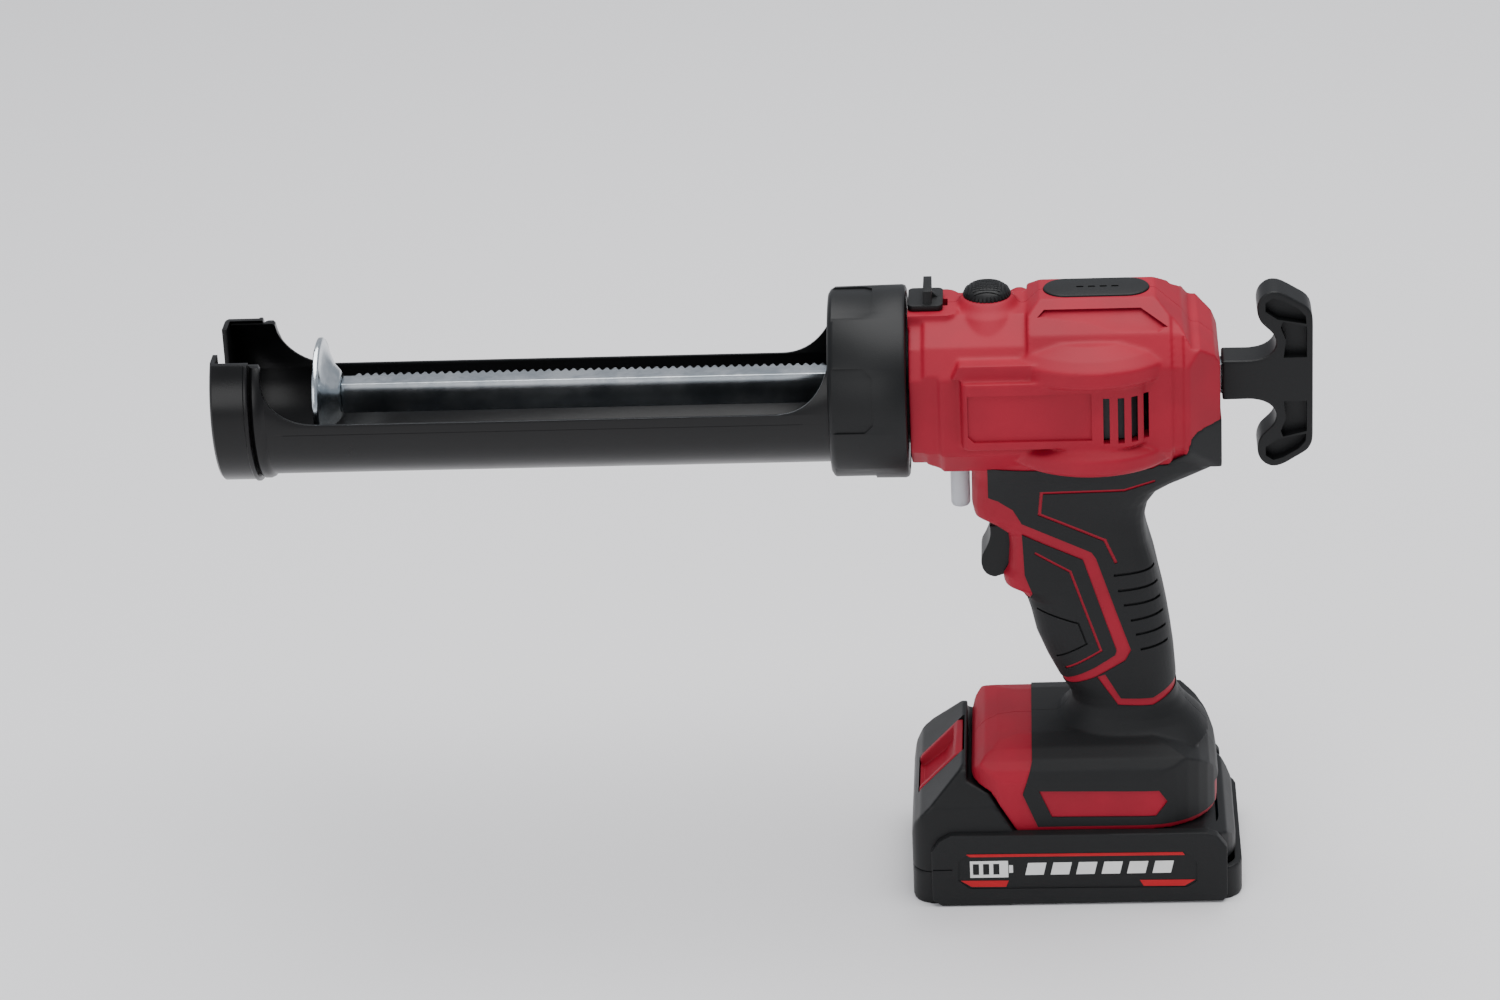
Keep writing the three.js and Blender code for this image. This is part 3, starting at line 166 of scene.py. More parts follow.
class Value:
    """A shader value. Sums, products and comparisons of values add Math nodes to its material."""

    def __init__(self, tree, socket):
        self.tree = tree
        self.socket = socket

    def maths(self, operation, *others):
        node = self.tree.nodes.new("ShaderNodeMath")
        node.operation = operation
        for slot, item in zip(node.inputs, others):
            plug(self.tree, slot, item)
        return Value(self.tree, node.outputs[0])

    def __add__(self, other):
        return self.maths("ADD", self, other)

    def __radd__(self, other):
        return self.maths("ADD", other, self)

    def __sub__(self, other):
        return self.maths("SUBTRACT", self, other)

    def __rsub__(self, other):
        return self.maths("SUBTRACT", other, self)

    def __mul__(self, other):
        return self.maths("MULTIPLY", self, other)

    def __rmul__(self, other):
        return self.maths("MULTIPLY", other, self)

    def __truediv__(self, other):
        return self.maths("DIVIDE", self, other)

    def __rtruediv__(self, other):
        return self.maths("DIVIDE", other, self)

    def __gt__(self, other):
        return self.maths("GREATER_THAN", self, other)

    def __lt__(self, other):
        return self.maths("LESS_THAN", self, other)


def plug(tree, slot, item):
    if isinstance(item, Value):
        tree.links.new(item.socket, slot)
    else:
        slot.default_value = item


class Finish:
    """A procedural material: a Principled shader and the textures that feed it."""

    def __init__(self, name, **sockets):
        self.material = bpy.data.materials.new(name)
        self.material.use_nodes = True
        self.tree = self.material.node_tree
        self.tree.nodes.clear()
        self.shader = self.tree.nodes.new("ShaderNodeBsdfPrincipled")
        output = self.tree.nodes.new("ShaderNodeOutputMaterial")
        self.tree.links.new(self.shader.outputs[0], output.inputs["Surface"])
        self.place = self.node("ShaderNodeTexCoord", output="Object")
        self.feed(**sockets)

    def node(self, kind, settings=None, sockets=None, output=0):
        made = self.tree.nodes.new(kind)
        for setting, value in (settings or {}).items():
            setattr(made, setting, value)
        for socket, item in (sockets or {}).items():
            plug(self.tree, made.inputs[socket], item)
        return Value(self.tree, made.outputs[output])

    def feed(self, **sockets):
        for socket, item in sockets.items():
            plug(self.tree, self.shader.inputs[socket.replace("_", " ")], item)

    def noise(self, size, detail=3.0, roughness=0.5):
        """Noise from 0 to 1, with blotches of about this size in millimetres."""
        return self.node("ShaderNodeTexNoise", {}, {"Vector": self.place, "Scale": 1 / (size * MM),
                                                    "Detail": detail, "Roughness": roughness})

    def ramp(self, value, low, high, to_low=0.0, to_high=1.0):
        return self.node("ShaderNodeMapRange", {"interpolation_type": "SMOOTHSTEP"},
                         {"Value": value, "From Min": low, "From Max": high,
                          "To Min": to_low, "To Max": to_high})

    def mixed(self, share, first, second):
        return self.node("ShaderNodeMix", {"data_type": "RGBA"}, {0: share, 6: first, 7: second}, 2)

    def bump(self, height, depth):
        """Raises the surface by height times depth in millimetres."""
        return self.node("ShaderNodeBump", {}, {"Height": height, "Distance": depth * MM, "Strength": 1.0})


def tint(red, green, blue):
    """A display colour, 0 to 255, as a linear one."""
    shares = [channel / 255 for channel in (red, green, blue)]
    linear = [((share + 0.055) / 1.055) ** 2.4 if share > 0.04 else share / 12.92 for share in shares]
    return (*linear, 1)


def dressed(piece, name, finish, slot, body, *stands_for, crease=32.0):
    piece.name = name
    piece.data.materials.clear()
    piece.data.materials.append(finish.material)
    piece.data.shade_smooth()
    piece.data.set_sharp_from_angle(angle=math.radians(crease))
    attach(piece, body)
    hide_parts(*stands_for)
    return piece


def coated(name, colour, roughness, grain, depth, worn):
    """Paint or moulded plastic: an even colour with faint blotches, and a fine grain in the shine."""
    finish = Finish(name)
    blotch = finish.noise(18, 4)
    fine = finish.noise(grain, 2, 0.6)
    darker = tuple(c * 0.86 for c in colour[:3]) + (1,)
    base = finish.mixed(finish.ramp(blotch, 0.3, 0.7), darker, colour)
    scuffs = finish.noise(3.5, 6, 0.7)
    rubbed = finish.ramp(scuffs, 0.66, 0.76, 0.0, worn)
    finish.feed(Base_Color=finish.mixed(rubbed, base, tint(150, 150, 150)),
                Roughness=roughness + (blotch - 0.5) * 0.12 + rubbed * 0.3, Normal=finish.bump(fine, depth),
                Specular_IOR_Level=0.28)
    return finish


black_paint = coated("black_paint", tint(12, 12, 13), 0.3, 0.9, 0.015, 0.02)

barrel_front, barrel_rear = -294.4, -77.7
tube_inside, tube_outside, bead_radius, flange_radius = 26.5, 27.5, 28.9, 30.3
tube = lathe("barrel", [
    (barrel_front, tube_inside), (barrel_front, tube_outside), (-282.6, tube_outside), (-282.2, 28.3),
    (-281.3, bead_radius), (-279.6, bead_radius), (-278.4, 28.4), (-277.6, tube_outside),
    (-79.2, tube_outside), (-79.2, flange_radius), (barrel_rear, flange_radius),
    (barrel_rear, tube_inside)], 128)
horn_z = AXIS_Z + 19.5
trough = [(-301, 240), (-301, horn_z), (-279.6, horn_z), (-278.9, horn_z - 0.9)]
trough += bent((-278.9, 204), (-278.9, 196), (-271.9, AXIS_Z), (-259.9, AXIS_Z))
trough += bent((-101, AXIS_Z), (-90, AXIS_Z), (-84, 197), (-82, horn_z)) + [(-80, 240)]
tube = cut(tube, prism("trough", trough, -45, 45))
bend_lines = [block(-272, -92, *span(side, 27.1, 30), 184.2, 184.6) for side in (-1, 1)]
barrel = edged(cut(tube, *bend_lines), 0.3)
dressed(barrel, "barrel_shell", black_paint, "black_paint", "barrel", "barrel")

# ------------------------------------------------------------------ front cap
# A pressed steel cap over the tube's end. The cartridge's nozzle passes through the slot in its face. The
# two horns beside the slot hold the cartridge's shoulders. Same black powder coat, edges folded over.

cap_front, cap_rear, cap_radius, cap_inside = -296.4, -283.0, 29.3, 27.8
cap = lathe("cap", [
    (cap_front, 0), (cap_front, 27.4), (-296.1, 28.5), (-295.3, cap_radius), (-284.6, cap_radius),
    (-284.2, 29.9), (-283.4, 29.9), (cap_rear, 29.5), (cap_rear, cap_inside), (-294.7, cap_inside),
    (-294.7, 0)], 128)
slot_half = 11.0
slot_outline = [(-slot_half, 240), (-slot_half, AXIS_Z)]
slot_outline += bent((-slot_half, AXIS_Z), (-slot_half, 173.4), (slot_half, 173.4), (slot_half, AXIS_Z))
slot_outline += [(slot_half, 240)]
cap = cut(cap, prism("slot", slot_outline, -299, -290, "x"), block(-300, -280, -40, 40, 208.5, 240))
dressed(edged(cap, 0.45, segments=3), "front_cap_shell", black_paint, "black_paint", "barrel", "front_cap")

# ------------------------------------------------------------------ collar nut
# A glass-filled nylon nut that clamps the barrel to the body. Five shallow finger panels with cut corners
# are moulded into its front half, and it has a chamfer at each end.

moulded_black = coated("moulded_black", tint(17, 18, 19), 0.46, 0.55, 0.03, 0.0)

collar_front, collar_rear, collar_radius = -83.0, -56.0, 33.6
collar = lathe("collar", [
    (collar_front, 27.9), (collar_front, 31.0), (-82.2, 32.3), (-80.6, 33.3), (-57.4, collar_radius),
    (-56.4, 33.2), (collar_rear, 32.3), (collar_rear, 30.7), (-80, 30.7), (-80, 27.9)], 144)
panel_outline = [(-85, -11.4), (-70.6, -11.4), (-67.6, -8.4), (-67.6, 8.4), (-70.6, 11.4), (-85, 11.4)]
panel_count, panel_turn, panel_floor = 5, 7, 32.75
panel_ring = [(-90, panel_floor), (-90, 45), (-60, 45), (-60, panel_floor)]
for index in range(panel_count):
    panel = prism("panel", panel_outline, 20, 40, "z")
    panel = shared(panel, lathe("ring", panel_ring, 144, centre=(0, 0)))
    turned = Matrix.Rotation(math.radians(360 / panel_count * index + panel_turn), 4, "X")
    panel.data.transform(Matrix.Translation((0, 0, AXIS_Z * MM)) @ turned)
    collar = cut(collar, panel)
dressed(edged(collar, 0.35), "collar_nut_shell", moulded_black, "black_plastic", "collar", "collar_nut")

# ------------------------------------------------------------------ push rod and plunger
# A cold-drawn steel rack, bright zinc plated, with the plunger's dished disc held to its front end by a
# screw. The plating shows faint drawing lines along the rod and a few dull patches.

zinc = Finish("bright_zinc", Metallic=1.0)
drawn = zinc.node("ShaderNodeMapping", {"vector_type": "POINT"},
                  {"Vector": zinc.place, "Scale": (14, 900, 900)})
lines = zinc.node("ShaderNodeTexNoise", {}, {"Vector": drawn, "Scale": 1.2, "Detail": 3.0})
patches = zinc.noise(14, 5, 0.65)
zinc.feed(Base_Color=zinc.mixed(zinc.ramp(patches, 0.35, 0.65), tint(188, 197, 203), tint(226, 231, 234)),
          Roughness=0.1 + lines * 0.1 + patches * 0.1, Normal=zinc.bump(lines, 0.006))

rack_pitch, rack_tip, rack_root, rod_back = 2.9, 5.0, 2.93, -4.5
tooth_half_tip, tooth_half_root = 0.255, 1.22
rack_outline = [(-253.6, rod_back), (61.8, rod_back), (61.8, rack_root)]
for tooth in range(9, -89, -1):
    centre = 7 + tooth * rack_pitch
    rack_outline += [(centre + tooth_half_root, rack_root), (centre + tooth_half_tip, rack_tip),
                     (centre - tooth_half_tip, rack_tip), (centre - tooth_half_root, rack_root)]
rack_outline.append((-253.6, rack_root))
rod = prism("rod", rack_outline, 182.5, 193.5, "z")
dressed(edged(rod, 0.22), "push_rod_bar", zinc, "zinc", "rod", "push_rod", crease=25)

plunger = lathe("plunger", [
    (-261.5, 18.3), (-262.0, 19.2), (-261.6, 19.8), (-260.6, 19.9), (-259.9, 19.3), (-259.9, 18.4),
    (-259.2, 16.6), (-256.6, 10.6), (-254.6, 8.4), (-253.9, 7.2), (-253.9, 2.4), (-255.4, 2.4),
    (-255.4, 7.4), (-257.6, 10.2)], 96)
dressed(plunger, "plunger_dish", zinc, "zinc", "rod", "plunger_disc", crease=50)

screw = lathe("screw", [(-258.6, 0), (-258.6, 2.6), (-258.0, 3.9), (-257.0, 4.5), (-255.8, 4.5),
                        (-255.8, 2.0), (-246, 2.0), (-246, 0)], 48)
screw = cut(screw, block(-259.5, -257.4, -3.2, 3.2, 187.5, 188.5),
            block(-259.5, -257.4, -0.5, 0.5, 184.8, 191.2))
dressed(screw, "plunger_screw_head", zinc, "steel", "rod", "plunger_screw")

# ------------------------------------------------------------------ pull handle
# The T-shaped moulding pinned to the rod's rear end: two finger hooks on a short stem, cored out from each
# side between a rim and a rib, in the same black nylon as the collar.


def moulded(name, parts, grid, passes):
    """Fuses overlapping solids into one skin on a fine grid, then relaxes it to fillet every corner."""
    piece = fused(parts[0], *parts[1:])
    piece.name = name
    changed(piece, "REMESH", mode="VOXEL", voxel_size=grid * MM, adaptivity=0.0)
    return changed(piece, "SMOOTH", factor=0.5, iterations=passes)


handle_front, handle_back, stem_half = 52.3, 83.5, 7.3
half_outline = [(handle_front, stem_half)]
half_outline += bent((61.0, 7.2), (67.5, 7.2), (71.4, 10.5), (70.8, 14.5))
half_outline += bent((70.8, 14.5), (70.2, 18.0), (67.0, 19.4), (65.6, 21.6))[1:]
half_outline += bent((65.6, 21.6), (63.8, 24.6), (63.9, 28.8), (66.2, 31.0))[1:]
half_outline += bent((66.2, 31.0), (68.6, 33.4), (71.2, 33.2), (74.4, 31.4))[1:]
half_outline += bent((79.6, 28.2), (82.6, 26.4), (handle_back, 24.4), (handle_back, 20.6))
handle_outline = [(x, AXIS_Z + u) for x, u in half_outline]
handle_outline += [(x, AXIS_Z - u) for x, u in reversed(half_outline)]
handle = moulded("handle", [prism("handle", handle_outline, -6.5, 6.5)], 0.42, 9)
pocket_outlines = [
    [(73.4, 8.2), (81.4, 8.2), (81.4, 19.6), (73.2, 21.6), (72.4, 19.4), (74.2, 14.6)],
    [(71.4, 22.4), (81.2, 20.6), (81.0, 23.4), (78.6, 26.2), (73.2, 29.4), (69.8, 30.4), (67.2, 28.6),
     (67.2, 25.4)],
]
for face in (-1, 1):
    for half in (-1, 1):
        for outline in pocket_outlines:
            points = [(x, AXIS_Z + half * u) for x, u in outline]
            handle = cut(handle, prism("pocket", points, *span(face, 2.6, 9)))
handle = cut(handle, block(50, 62.1, -4.8, 5.3, 182.2, 193.8))
dressed(handle, "pull_handle_grip", moulded_black, "black_plastic", "rod", "pull_handle")

# ------------------------------------------------------------------ drive housing
# Two clamshell halves of matt red glass-filled nylon: the body over rack, gears and motor, the core of the
# grip and the foot's frame. Spark-eroded texture, fillets everywhere, and a hairline where the halves meet.

moulded_red = coated("moulded_red", tint(156, 17, 42), 0.56, 0.6, 0.035, 0.0)


def both_sides(points):
    """A closed outline from the half with u above zero, listed bottom to top."""
    return list(points) + [(-u, v) for u, v in reversed(points)]


def body_shape(more=0.0):
    """The body: its section, its side view and its plan, all shared. Grows by a few tenths if asked."""
    half, bottom, rear = 29 + more, 161.5 - more, 51.3 + more
    section = both_sides([(19, bottom), (half, 172), (half, 203), (22, 213 + more), (9, 221.2 + more)])
    low_section = both_sides([(19, bottom), (half, 172), (half, 200), (22, 209.4 + more), (10, 216.5)])
    side = [(-50, 165.4), (-44, bottom), (rear, bottom), (rear, 199.5), (49.5, 203.7), (44.3, 207.9),
            (41.7, 207.9), (38.7, 212.9), (29.5, 221.2), (-10.1, 221.2), (-15, 216.5), (-50, 216.5)]
    plan = [(-50, -half), (40.3, -half), (rear, -19), (rear, 19), (40.3, half), (-50, half)]
    sections = fused(prism("front", low_section, -50, -14, "x"), prism("rear", section, -14.5, 52, "x"))
    return shared(sections, prism("side", side, -60, 60), prism("plan", plan, 100, 260, "z"))


grip_rows = [
    # height, front, back, half width, squareness of the section
    (52.5, -13.0, 47.0, 26.0, 2.6), (56.5, -9.4, 44.0, 21.6, 2.6), (59.5, -6.0, 41.2, 18.9, 2.6),
    (62.5, -3.2, 38.6, 17.1, 2.6), (66.5, -1.6, 36.2, 16.1, 2.6), (70.0, -2.6, 35.6, 16.1, 2.6),
    (74.8, -5.6, 35.4, 16.4, 2.7),
    (84.5, -10.3, 34.7, 17.0, 2.8), (93.4, -13.8, 33.6, 17.3, 2.9), (102, -15.6, 32.3, 17.2, 3.0),
    (107.8, -17.3, 31.2, 17.0, 3.2), (111.2, -20.9, 30.4, 16.8, 3.6), (113.2, -25.0, 29.9, 16.6, 4.0),
    (117.5, -25.6, 29.0, 16.5, 4.5), (120.5, -23.6, 28.3, 16.3, 5.0), (129.0, -23.0, 26.0, 16.1, 5.0),
    (133.5, -23.4, 25.2, 16.1, 5.0), (137.2, -28.5, 25.0, 16.2, 5.0), (140.5, -34.8, 25.4, 16.4, 5.0),
    (144.5, -35.6, 26.4, 16.8, 5.0), (149.5, -35.5, 30.0, 17.8, 5.0), (153.0, -35.5, 35.8, 18.8, 5.0),
    (156.5, -35.4, 44.0, 20.0, 4.5), (160.0, -35.4, 50.8, 21.5, 4.5), (164.0, -35.4, 50.8, 23.0, 4.5)]


def grip_shape(depth=0.0):
    """The grip as a stack of rounded sections between its front and back lines, made smaller by a depth."""
    steps = 64
    points = []
    faces = []
    for z, front, back, half_width, power in grip_rows:
        centre, half = (front + back) / 2, (back - front) / 2 - depth
        for step in range(steps):
            angle = 2 * math.pi * step / steps
            c, s = math.cos(angle), math.sin(angle)
            reach = (abs(c) ** power + abs(s) ** power) ** (-1 / power)
            points.append((centre + half * reach * c, (half_width - depth) * reach * s, z))
    for row in range(len(grip_rows) - 1):
        for step in range(steps):
            after = (step + 1) % steps
            low, high = row * steps, (row + 1) * steps
            faces.append((low + step, low + after, high + after, high + step))
    top = (len(grip_rows) - 1) * steps
    return piece_from("grip", points, faces + [tuple(range(steps)), tuple(range(top, top + steps))])


def groove(line, width, side, depth_from):
    """A channel along a line of (x, z) points, cut in from one side."""
    tools = []
    for (x0, z0), (x1, z1) in zip(line, line[1:]):
        along = Vector((x1 - x0, z1 - z0)).normalized()
        across = Vector((-along.y, along.x)) * width / 2
        a, b = Vector((x0, z0)) - along * width / 2, Vector((x1, z1)) + along * width / 2
        outline = [tuple(a + across), tuple(a - across), tuple(b - across), tuple(b + across)]
        tools.append(prism("groove", outline, *span(side, depth_from, 60)))
    return tools


# The black grip's own grooves; the core lies deeper under them.
shadow_line = [(-13.0, 105.0), (1.2, 101.0), (3.9, 93.0), (-6.5, 86.6)]
rib_lines = [[(14.3, 119.1), (30, 120.3)], [(15.7, 113.1), (32, 114.0)], [(17.7, 107.6), (33, 108.0)],
             [(20.0, 101.6), (34, 102.5)], [(21.7, 96.0), (35, 96.7)], [(23.3, 90.0), (36, 90.9)]]


def grip_grooves(widening, depth):
    """The grooves' channels on both sides of the grip, down to a depth below its skin."""
    channels = []
    for side in (-1, 1):
        for line, width in [(shadow_line, 0.7)] + [(line, 1.0) for line in rib_lines]:
            channels += [cut(tool, grip_shape(depth)) for tool in groove(line, width + widening, side, 9)]
    return channels


def rounded_plan(x0, x1, half_width, front_radius, rear_radius, steps=8):
    corners = [(x0 + front_radius, -half_width + front_radius, front_radius, 180),
               (x1 - rear_radius, -half_width + rear_radius, rear_radius, 270),
               (x1 - rear_radius, half_width - rear_radius, rear_radius, 0),
               (x0 + front_radius, half_width - front_radius, front_radius, 90)]
    points = []
    for x, y, radius, start in corners:
        for step in range(steps + 1):
            angle = math.radians(start + 90 * step / steps)
            points.append((x + radius * math.cos(angle), y + radius * math.sin(angle)))
    return points


def foot_shape(depth=0.0):
    """The foot over the battery: rounded plan, sloped front, and a roof that falls away to each side."""
    half = 34.5 - depth
    plan = rounded_plan(-38.4 + depth, 50 - depth, half, 12 - depth, 26 - depth)
    rear = [(50, 37), (49.0, 42.5), (46.5, 47.2), (43.0, 50.8), (38.5, 53.8), (33.0, 56.2), (27, 57.8),
            (21, 58.6)]
    front = [(-22, 58.6), (-28, 57.8), (-33, 55.2), (-36.6, 51.2), (-38.2, 46.6)]
    side = [(-22, 27.7), (50, 27.7)] + [(x - depth, z - depth * 0.8) for x, z in rear]
    side += [(x, z - depth) for x, z in front] + [(-31, 42.6 + depth)]
    section = both_sides([(half, 27.7), (half, 46.8), (33.4 - depth, 51.0), (30.2 - depth, 54.2 - depth),
                          (25, 56.8 - depth), (17.5, 58.6 - depth)])
    return shared(prism("foot", plan, 20, 70, "z"), prism("side", side, -50, 50),
                  prism("section", section, -60, 60, "x"))


gear_x, gear_y, drum_stretch = 7, 14, 1.24


def bulge(side):
    """The drum over the motor on one side and the last gear on the other, with a flange at each end."""
    profile = [(165.3, 0), (165.3, 20.6), (166.4, 22.6), (167.8, 23.8), (172.2, 23.8), (172.9, 23.2),
               (175.8, 19.9), (198.4, 19.9), (199.0, 23.2), (199.5, 23.9), (204.7, 23.9), (205.5, 23.1),
               (208.0, 19.8), (210.6, 13.0), (211.8, 0)]
    drum = lathe("bulge", profile, 72, "z", (gear_x, gear_y * side))
    for vertex in drum.data.vertices:
        if vertex.co.z > 198.8 * MM or vertex.co.z < 173.5 * MM:
            vertex.co.x = gear_x * MM + (vertex.co.x - gear_x * MM) * drum_stretch
    return drum


hump_corner, hump_rear, hump_half_width = 12.0, 28.0, 34.0


def hump(depth=0.0):
    """The gear hump across both flanks, with its rear corners rounded."""
    plan = rounded_plan(-37.4 + depth, hump_rear - depth, hump_half_width - depth,
                        3 - min(depth, 2.5), hump_corner - depth)
    return prism("hump", plan, 175.7 + depth, 200.4 - depth, "z")


def band(x0, x1, depth):
    """What lies above the body's flanks and roof between two stations, down to a depth below its skin."""
    scale = (29 - depth) / 29
    section = both_sides([(19, 161.5), (29, 172), (29, 203), (22, 213), (9, 221.2)])
    inner = [(u * scale, 191 + (v - 191) * scale) for u, v in section]
    outer = [(u * 1.3, 191 + (v - 191) * 1.3) for u, v in section]
    return cut(prism("band", outer, x0, x1, "x"), prism("inner", inner, x0 - 1, x1 + 1, "x"))


def ridge(side):
    """The raised band in front of the upper flange."""
    return prism("ridge", [(-40.5, 201.2), (-6, 201.6), (-6, 206), (-38, 206)], *span(side, 20, 31.2))


dial_x, lamp_x = -28, -39.1
trigger_window = (-42, -5, -8.5, 8.5, 114.6, 136.0)
body_screws = [(-27, 167), (-17, 206.5), (32, 204), (33, 167)]
grip_screws = [(19, 100), (16, 72)]


def screw_wells():
    """The wells that the screws' heads sink into, in the right-hand half."""
    wells = []
    for places, floor_y, mouth_y in ((body_screws, 22.8, 50), (grip_screws, 9.1, 30)):
        well = [(floor_y, 0), (floor_y, 3.3), (mouth_y, 3.3), (mouth_y, 0)]
        wells += [lathe("well", well, 32, "y", place) for place in places]
    return wells


body_parts = [cut(body_shape(), band(-51, -44.6, 1.0), band(34.4, 38.8, 1.0)),
              bulge(-1), bulge(1), hump(), ridge(-1), ridge(1)]
front_section = both_sides([(17.5, 164.4), (27.9, 173.2), (27.9, 199.6), (21.2, 208.6), (9.6, 215.2)])
body_parts += [prism("neck", front_section, -55.2, -44, "x")]
body_parts += [prism("plinth", rounded_plan(-60, -38.2, 12, 2, 4), 205, 217.2, "z")]
boss_top = 219.8
boss = lathe("boss", [(206, 0), (206, 15.4), (212.0, 14.4), (216.0, 11.9), (217.4, 10.3), (219.0, 9.3),
                      (boss_top, 8.6), (boss_top, 0)], 64, "z", (dial_x, 0))
for vertex in boss.data.vertices:
    vertex.co.y *= 1 + 0.25 * min(1, max(0, (boss_top * MM - vertex.co.z) / (5 * MM)))
body_parts.append(boss)
screw_boss = [(12, 0), (12, 5.4), (26.4, 4.9), (26.9, 4.4), (26.9, 0)]
body_parts += [lathe("screw_boss", screw_boss, 40, "y", place) for place in body_screws]
body_parts += [grip_shape(0.45), foot_shape(0.6)]
housing = moulded("housing", body_parts, 0.66, 3)

# What is open in it: neck, rod hole, trigger window, lamp seat, rail channel under the foot and dial shaft.
drum_inside = [(171, 0), (171, 17.4), (206, 17.4), (206, 0)]
for tool in (
        lathe("bore", [(-60, 0), (-60, 22), (-41, 22), (-41, 0)], 64),
        block(42, 54, -5.4, 5.9, 181.6, 194.4),
        block(*trigger_window),
        lathe("lamp", [(159, 0), (159, 3.7), (165, 3.7), (165, 0)], 40, "z", (lamp_x, 0)),
        block(-50.2, -41.6, -3, 3, 208, 222), block(-70, -55.3, -20, 20, 200, 222),
        lathe("dial", [(205, 0), (205, 3.2), (222, 3.2), (222, 0)], 32, "z", (dial_x, 0)),
        prism("cover", rounded_plan(-8.8, 27.9, 8.0, 8.0, 8.0), 220.2, 226, "z"),
        block(-45, 46, -17, 17, 20, 37.5), block(-45, -18, -21, 21, 20, 38.6),
        block(-46, 36, -22.5, 22.5, 168, 206), hump(2.5),
        lathe("drum", drum_inside, 48, "z", (gear_x, -gear_y)),
        lathe("drum", drum_inside, 48, "z", (gear_x, gear_y)),
        block(-18, 20, -12, 12, 118, 168), block(4, 30, -11, 11, 50, 120)):
    housing = cut(housing, tool)

# Panel lines and recesses on both flanks, and the four cooling slots at the rear of each hump.
flank_panels = [(-33.2, 178.9), (7.0, 178.9), (7.0, 196.2), (-35.3, 196.2), (-35.3, 181.0)]
upper_panel = [(-11, 217.0), (-8.5, 218.8), (24.5, 218.8), (33.6, 214.4), (30, 213.2), (16, 213.4),
               (6, 215.6)]
for side in (-1, 1):
    housing = cut(housing, prism("flank", flank_panels, *span(side, 33.1, 40)))
    roof = prism("roof", upper_panel, *span(side, 9.6, 30))
    lean = prism("lean", [(11.2, 218.5), (23.2, 210.7), (32, 222), (20, 230)], -60, 60, "x")
    lean.data.transform(Matrix.Scale(side, 4, Vector((0, 1, 0))))
    if side < 0:
        lean.data.flip_normals()
    housing = cut(housing, shared(roof, lean))
    for centre_x, width in ((12, 2.2), (17, 2.2), (21.6, 2.2), (25.6, 1.8)):
        slot_ends = (centre_x - width / 2, centre_x + width / 2)
        housing = cut(housing, block(*slot_ends, *span(side, 20, 40), 177.6, 194.4))
housing = cut(housing, *grip_grooves(0.8, 1.35), *screw_wells())
hands = ((-1, "left"), (1, "right"))
split_gap = 0.1
for side, hand in hands:
    half = shared(copied(housing), block(-80, 80, *span(side, split_gap, 60), 0, 240))
    dressed(half, f"housing_{hand}_shell", moulded_red, "red_plastic",
            "housing", f"housing_{hand}", crease=38)
bpy.data.objects.remove(housing)

# ------------------------------------------------------------------ grip and foot overmould
# Soft black elastomer moulded over the red core: it wraps the grip, the rear heel of the body and the foot,
# and leaves the core showing as stripes. Six grooves give the palm something to hold.

soft_black = coated("soft_black", tint(23, 24, 25), 0.58, 0.5, 0.045, 0.0)

heel_outline = [(27, 159), (39, 169.5), (40.8, 176.0), (43, 178.2), (60, 181), (60, 150), (27, 150)]
heel = shared(body_shape(0.35), prism("heel", heel_outline, -60, 60))
soft_parts = [grip_shape(0.0), foot_shape(0.0), heel]
soft_parts.append(shared(body_shape(0.2), block(-31, 60, -60, 60, 160, 163.4)))
skin = moulded("skin", soft_parts, 0.62, 3)
upper_limit = [(-29.3, 120), (-29.3, 162.4), (27.5, 162.4), (38.8, 169.3), (40.6, 175.8), (42.8, 178),
               (60, 180.8), (60, 240), (-80, 240), (-80, 120)]
frame_inner = [(-29.4, 163), (-29.5, 150.0), (-25.9, 148.8), (-20.9, 145.3), (-18.2, 140.2),
               (-17.9, 139.3), (-17.9, 134.2), (-17.3, 119.5), (-14.6, 112.0), (-16, 108.5), (-60, 108.5),
               (-60, 163)]
thick_stripe = [(-18.4, 139.8), (6.2, 128.0), (7.7, 125.7), (19.5, 89.9), (17.4, 86.0), (6.5, 79.2),
                (-8, 72.4), (-8, 75.2), (-2.9, 77.7), (6.5, 83.3), (13.8, 88.3), (14.3, 90.1),
                (3.1, 125.2), (-18.4, 135.2)]
branch = [(7.2, 79.6), (14.6, 68.0), (27.0, 67.2), (33, 69.6), (45, 74), (45, 77), (33, 72.8),
          (27.0, 70.1), (15.6, 70.7), (10.2, 80.6)]
foot_front = [(-16.2, 80), (-16.2, 53.6), (-19.7, 42.6), (-14.6, 29.7), (60, 29.7), (60, 20), (-60, 20),
              (-60, 80)]
inlay = [(-14.0, 43.9), (28.3, 43.1), (31.3, 38.3), (27.1, 33.0), (-9.6, 33.4)]
for outline in (upper_limit, frame_inner, thick_stripe, branch, foot_front):
    skin = cut(skin, prism("cut", outline, -70, 70))
for side in (-1, 1):
    skin = cut(skin, prism("inlay", inlay, *span(side, 20, 60)))
panel_line = [(28.0, 156.4), (17.8, 152.8), (-10.8, 152.3), (-11.6, 143.3), (10.9, 132.6), (14.5, 124.2)]
inner_line = [(-13.2, 127.9), (-1.3, 120.8), (8.9, 90.2), (-3.3, 82.3)]
core = fused(grip_shape(1.5), foot_shape(1.5), shared(body_shape(-0.8), block(-60, 60, -60, 60, 159.9, 240)))
skin = cut(skin, core, block(-60, 60, -17.2, 17.2, 20, 37.6), block(*trigger_window), *screw_wells())
for side in (-1, 1):
    for line, width in ((panel_line, 1.15), (inner_line, 0.95)):
        skin = cut(skin, *groove(line, width, side, 10))
skin = cut(skin, *grip_grooves(0, 0.85))
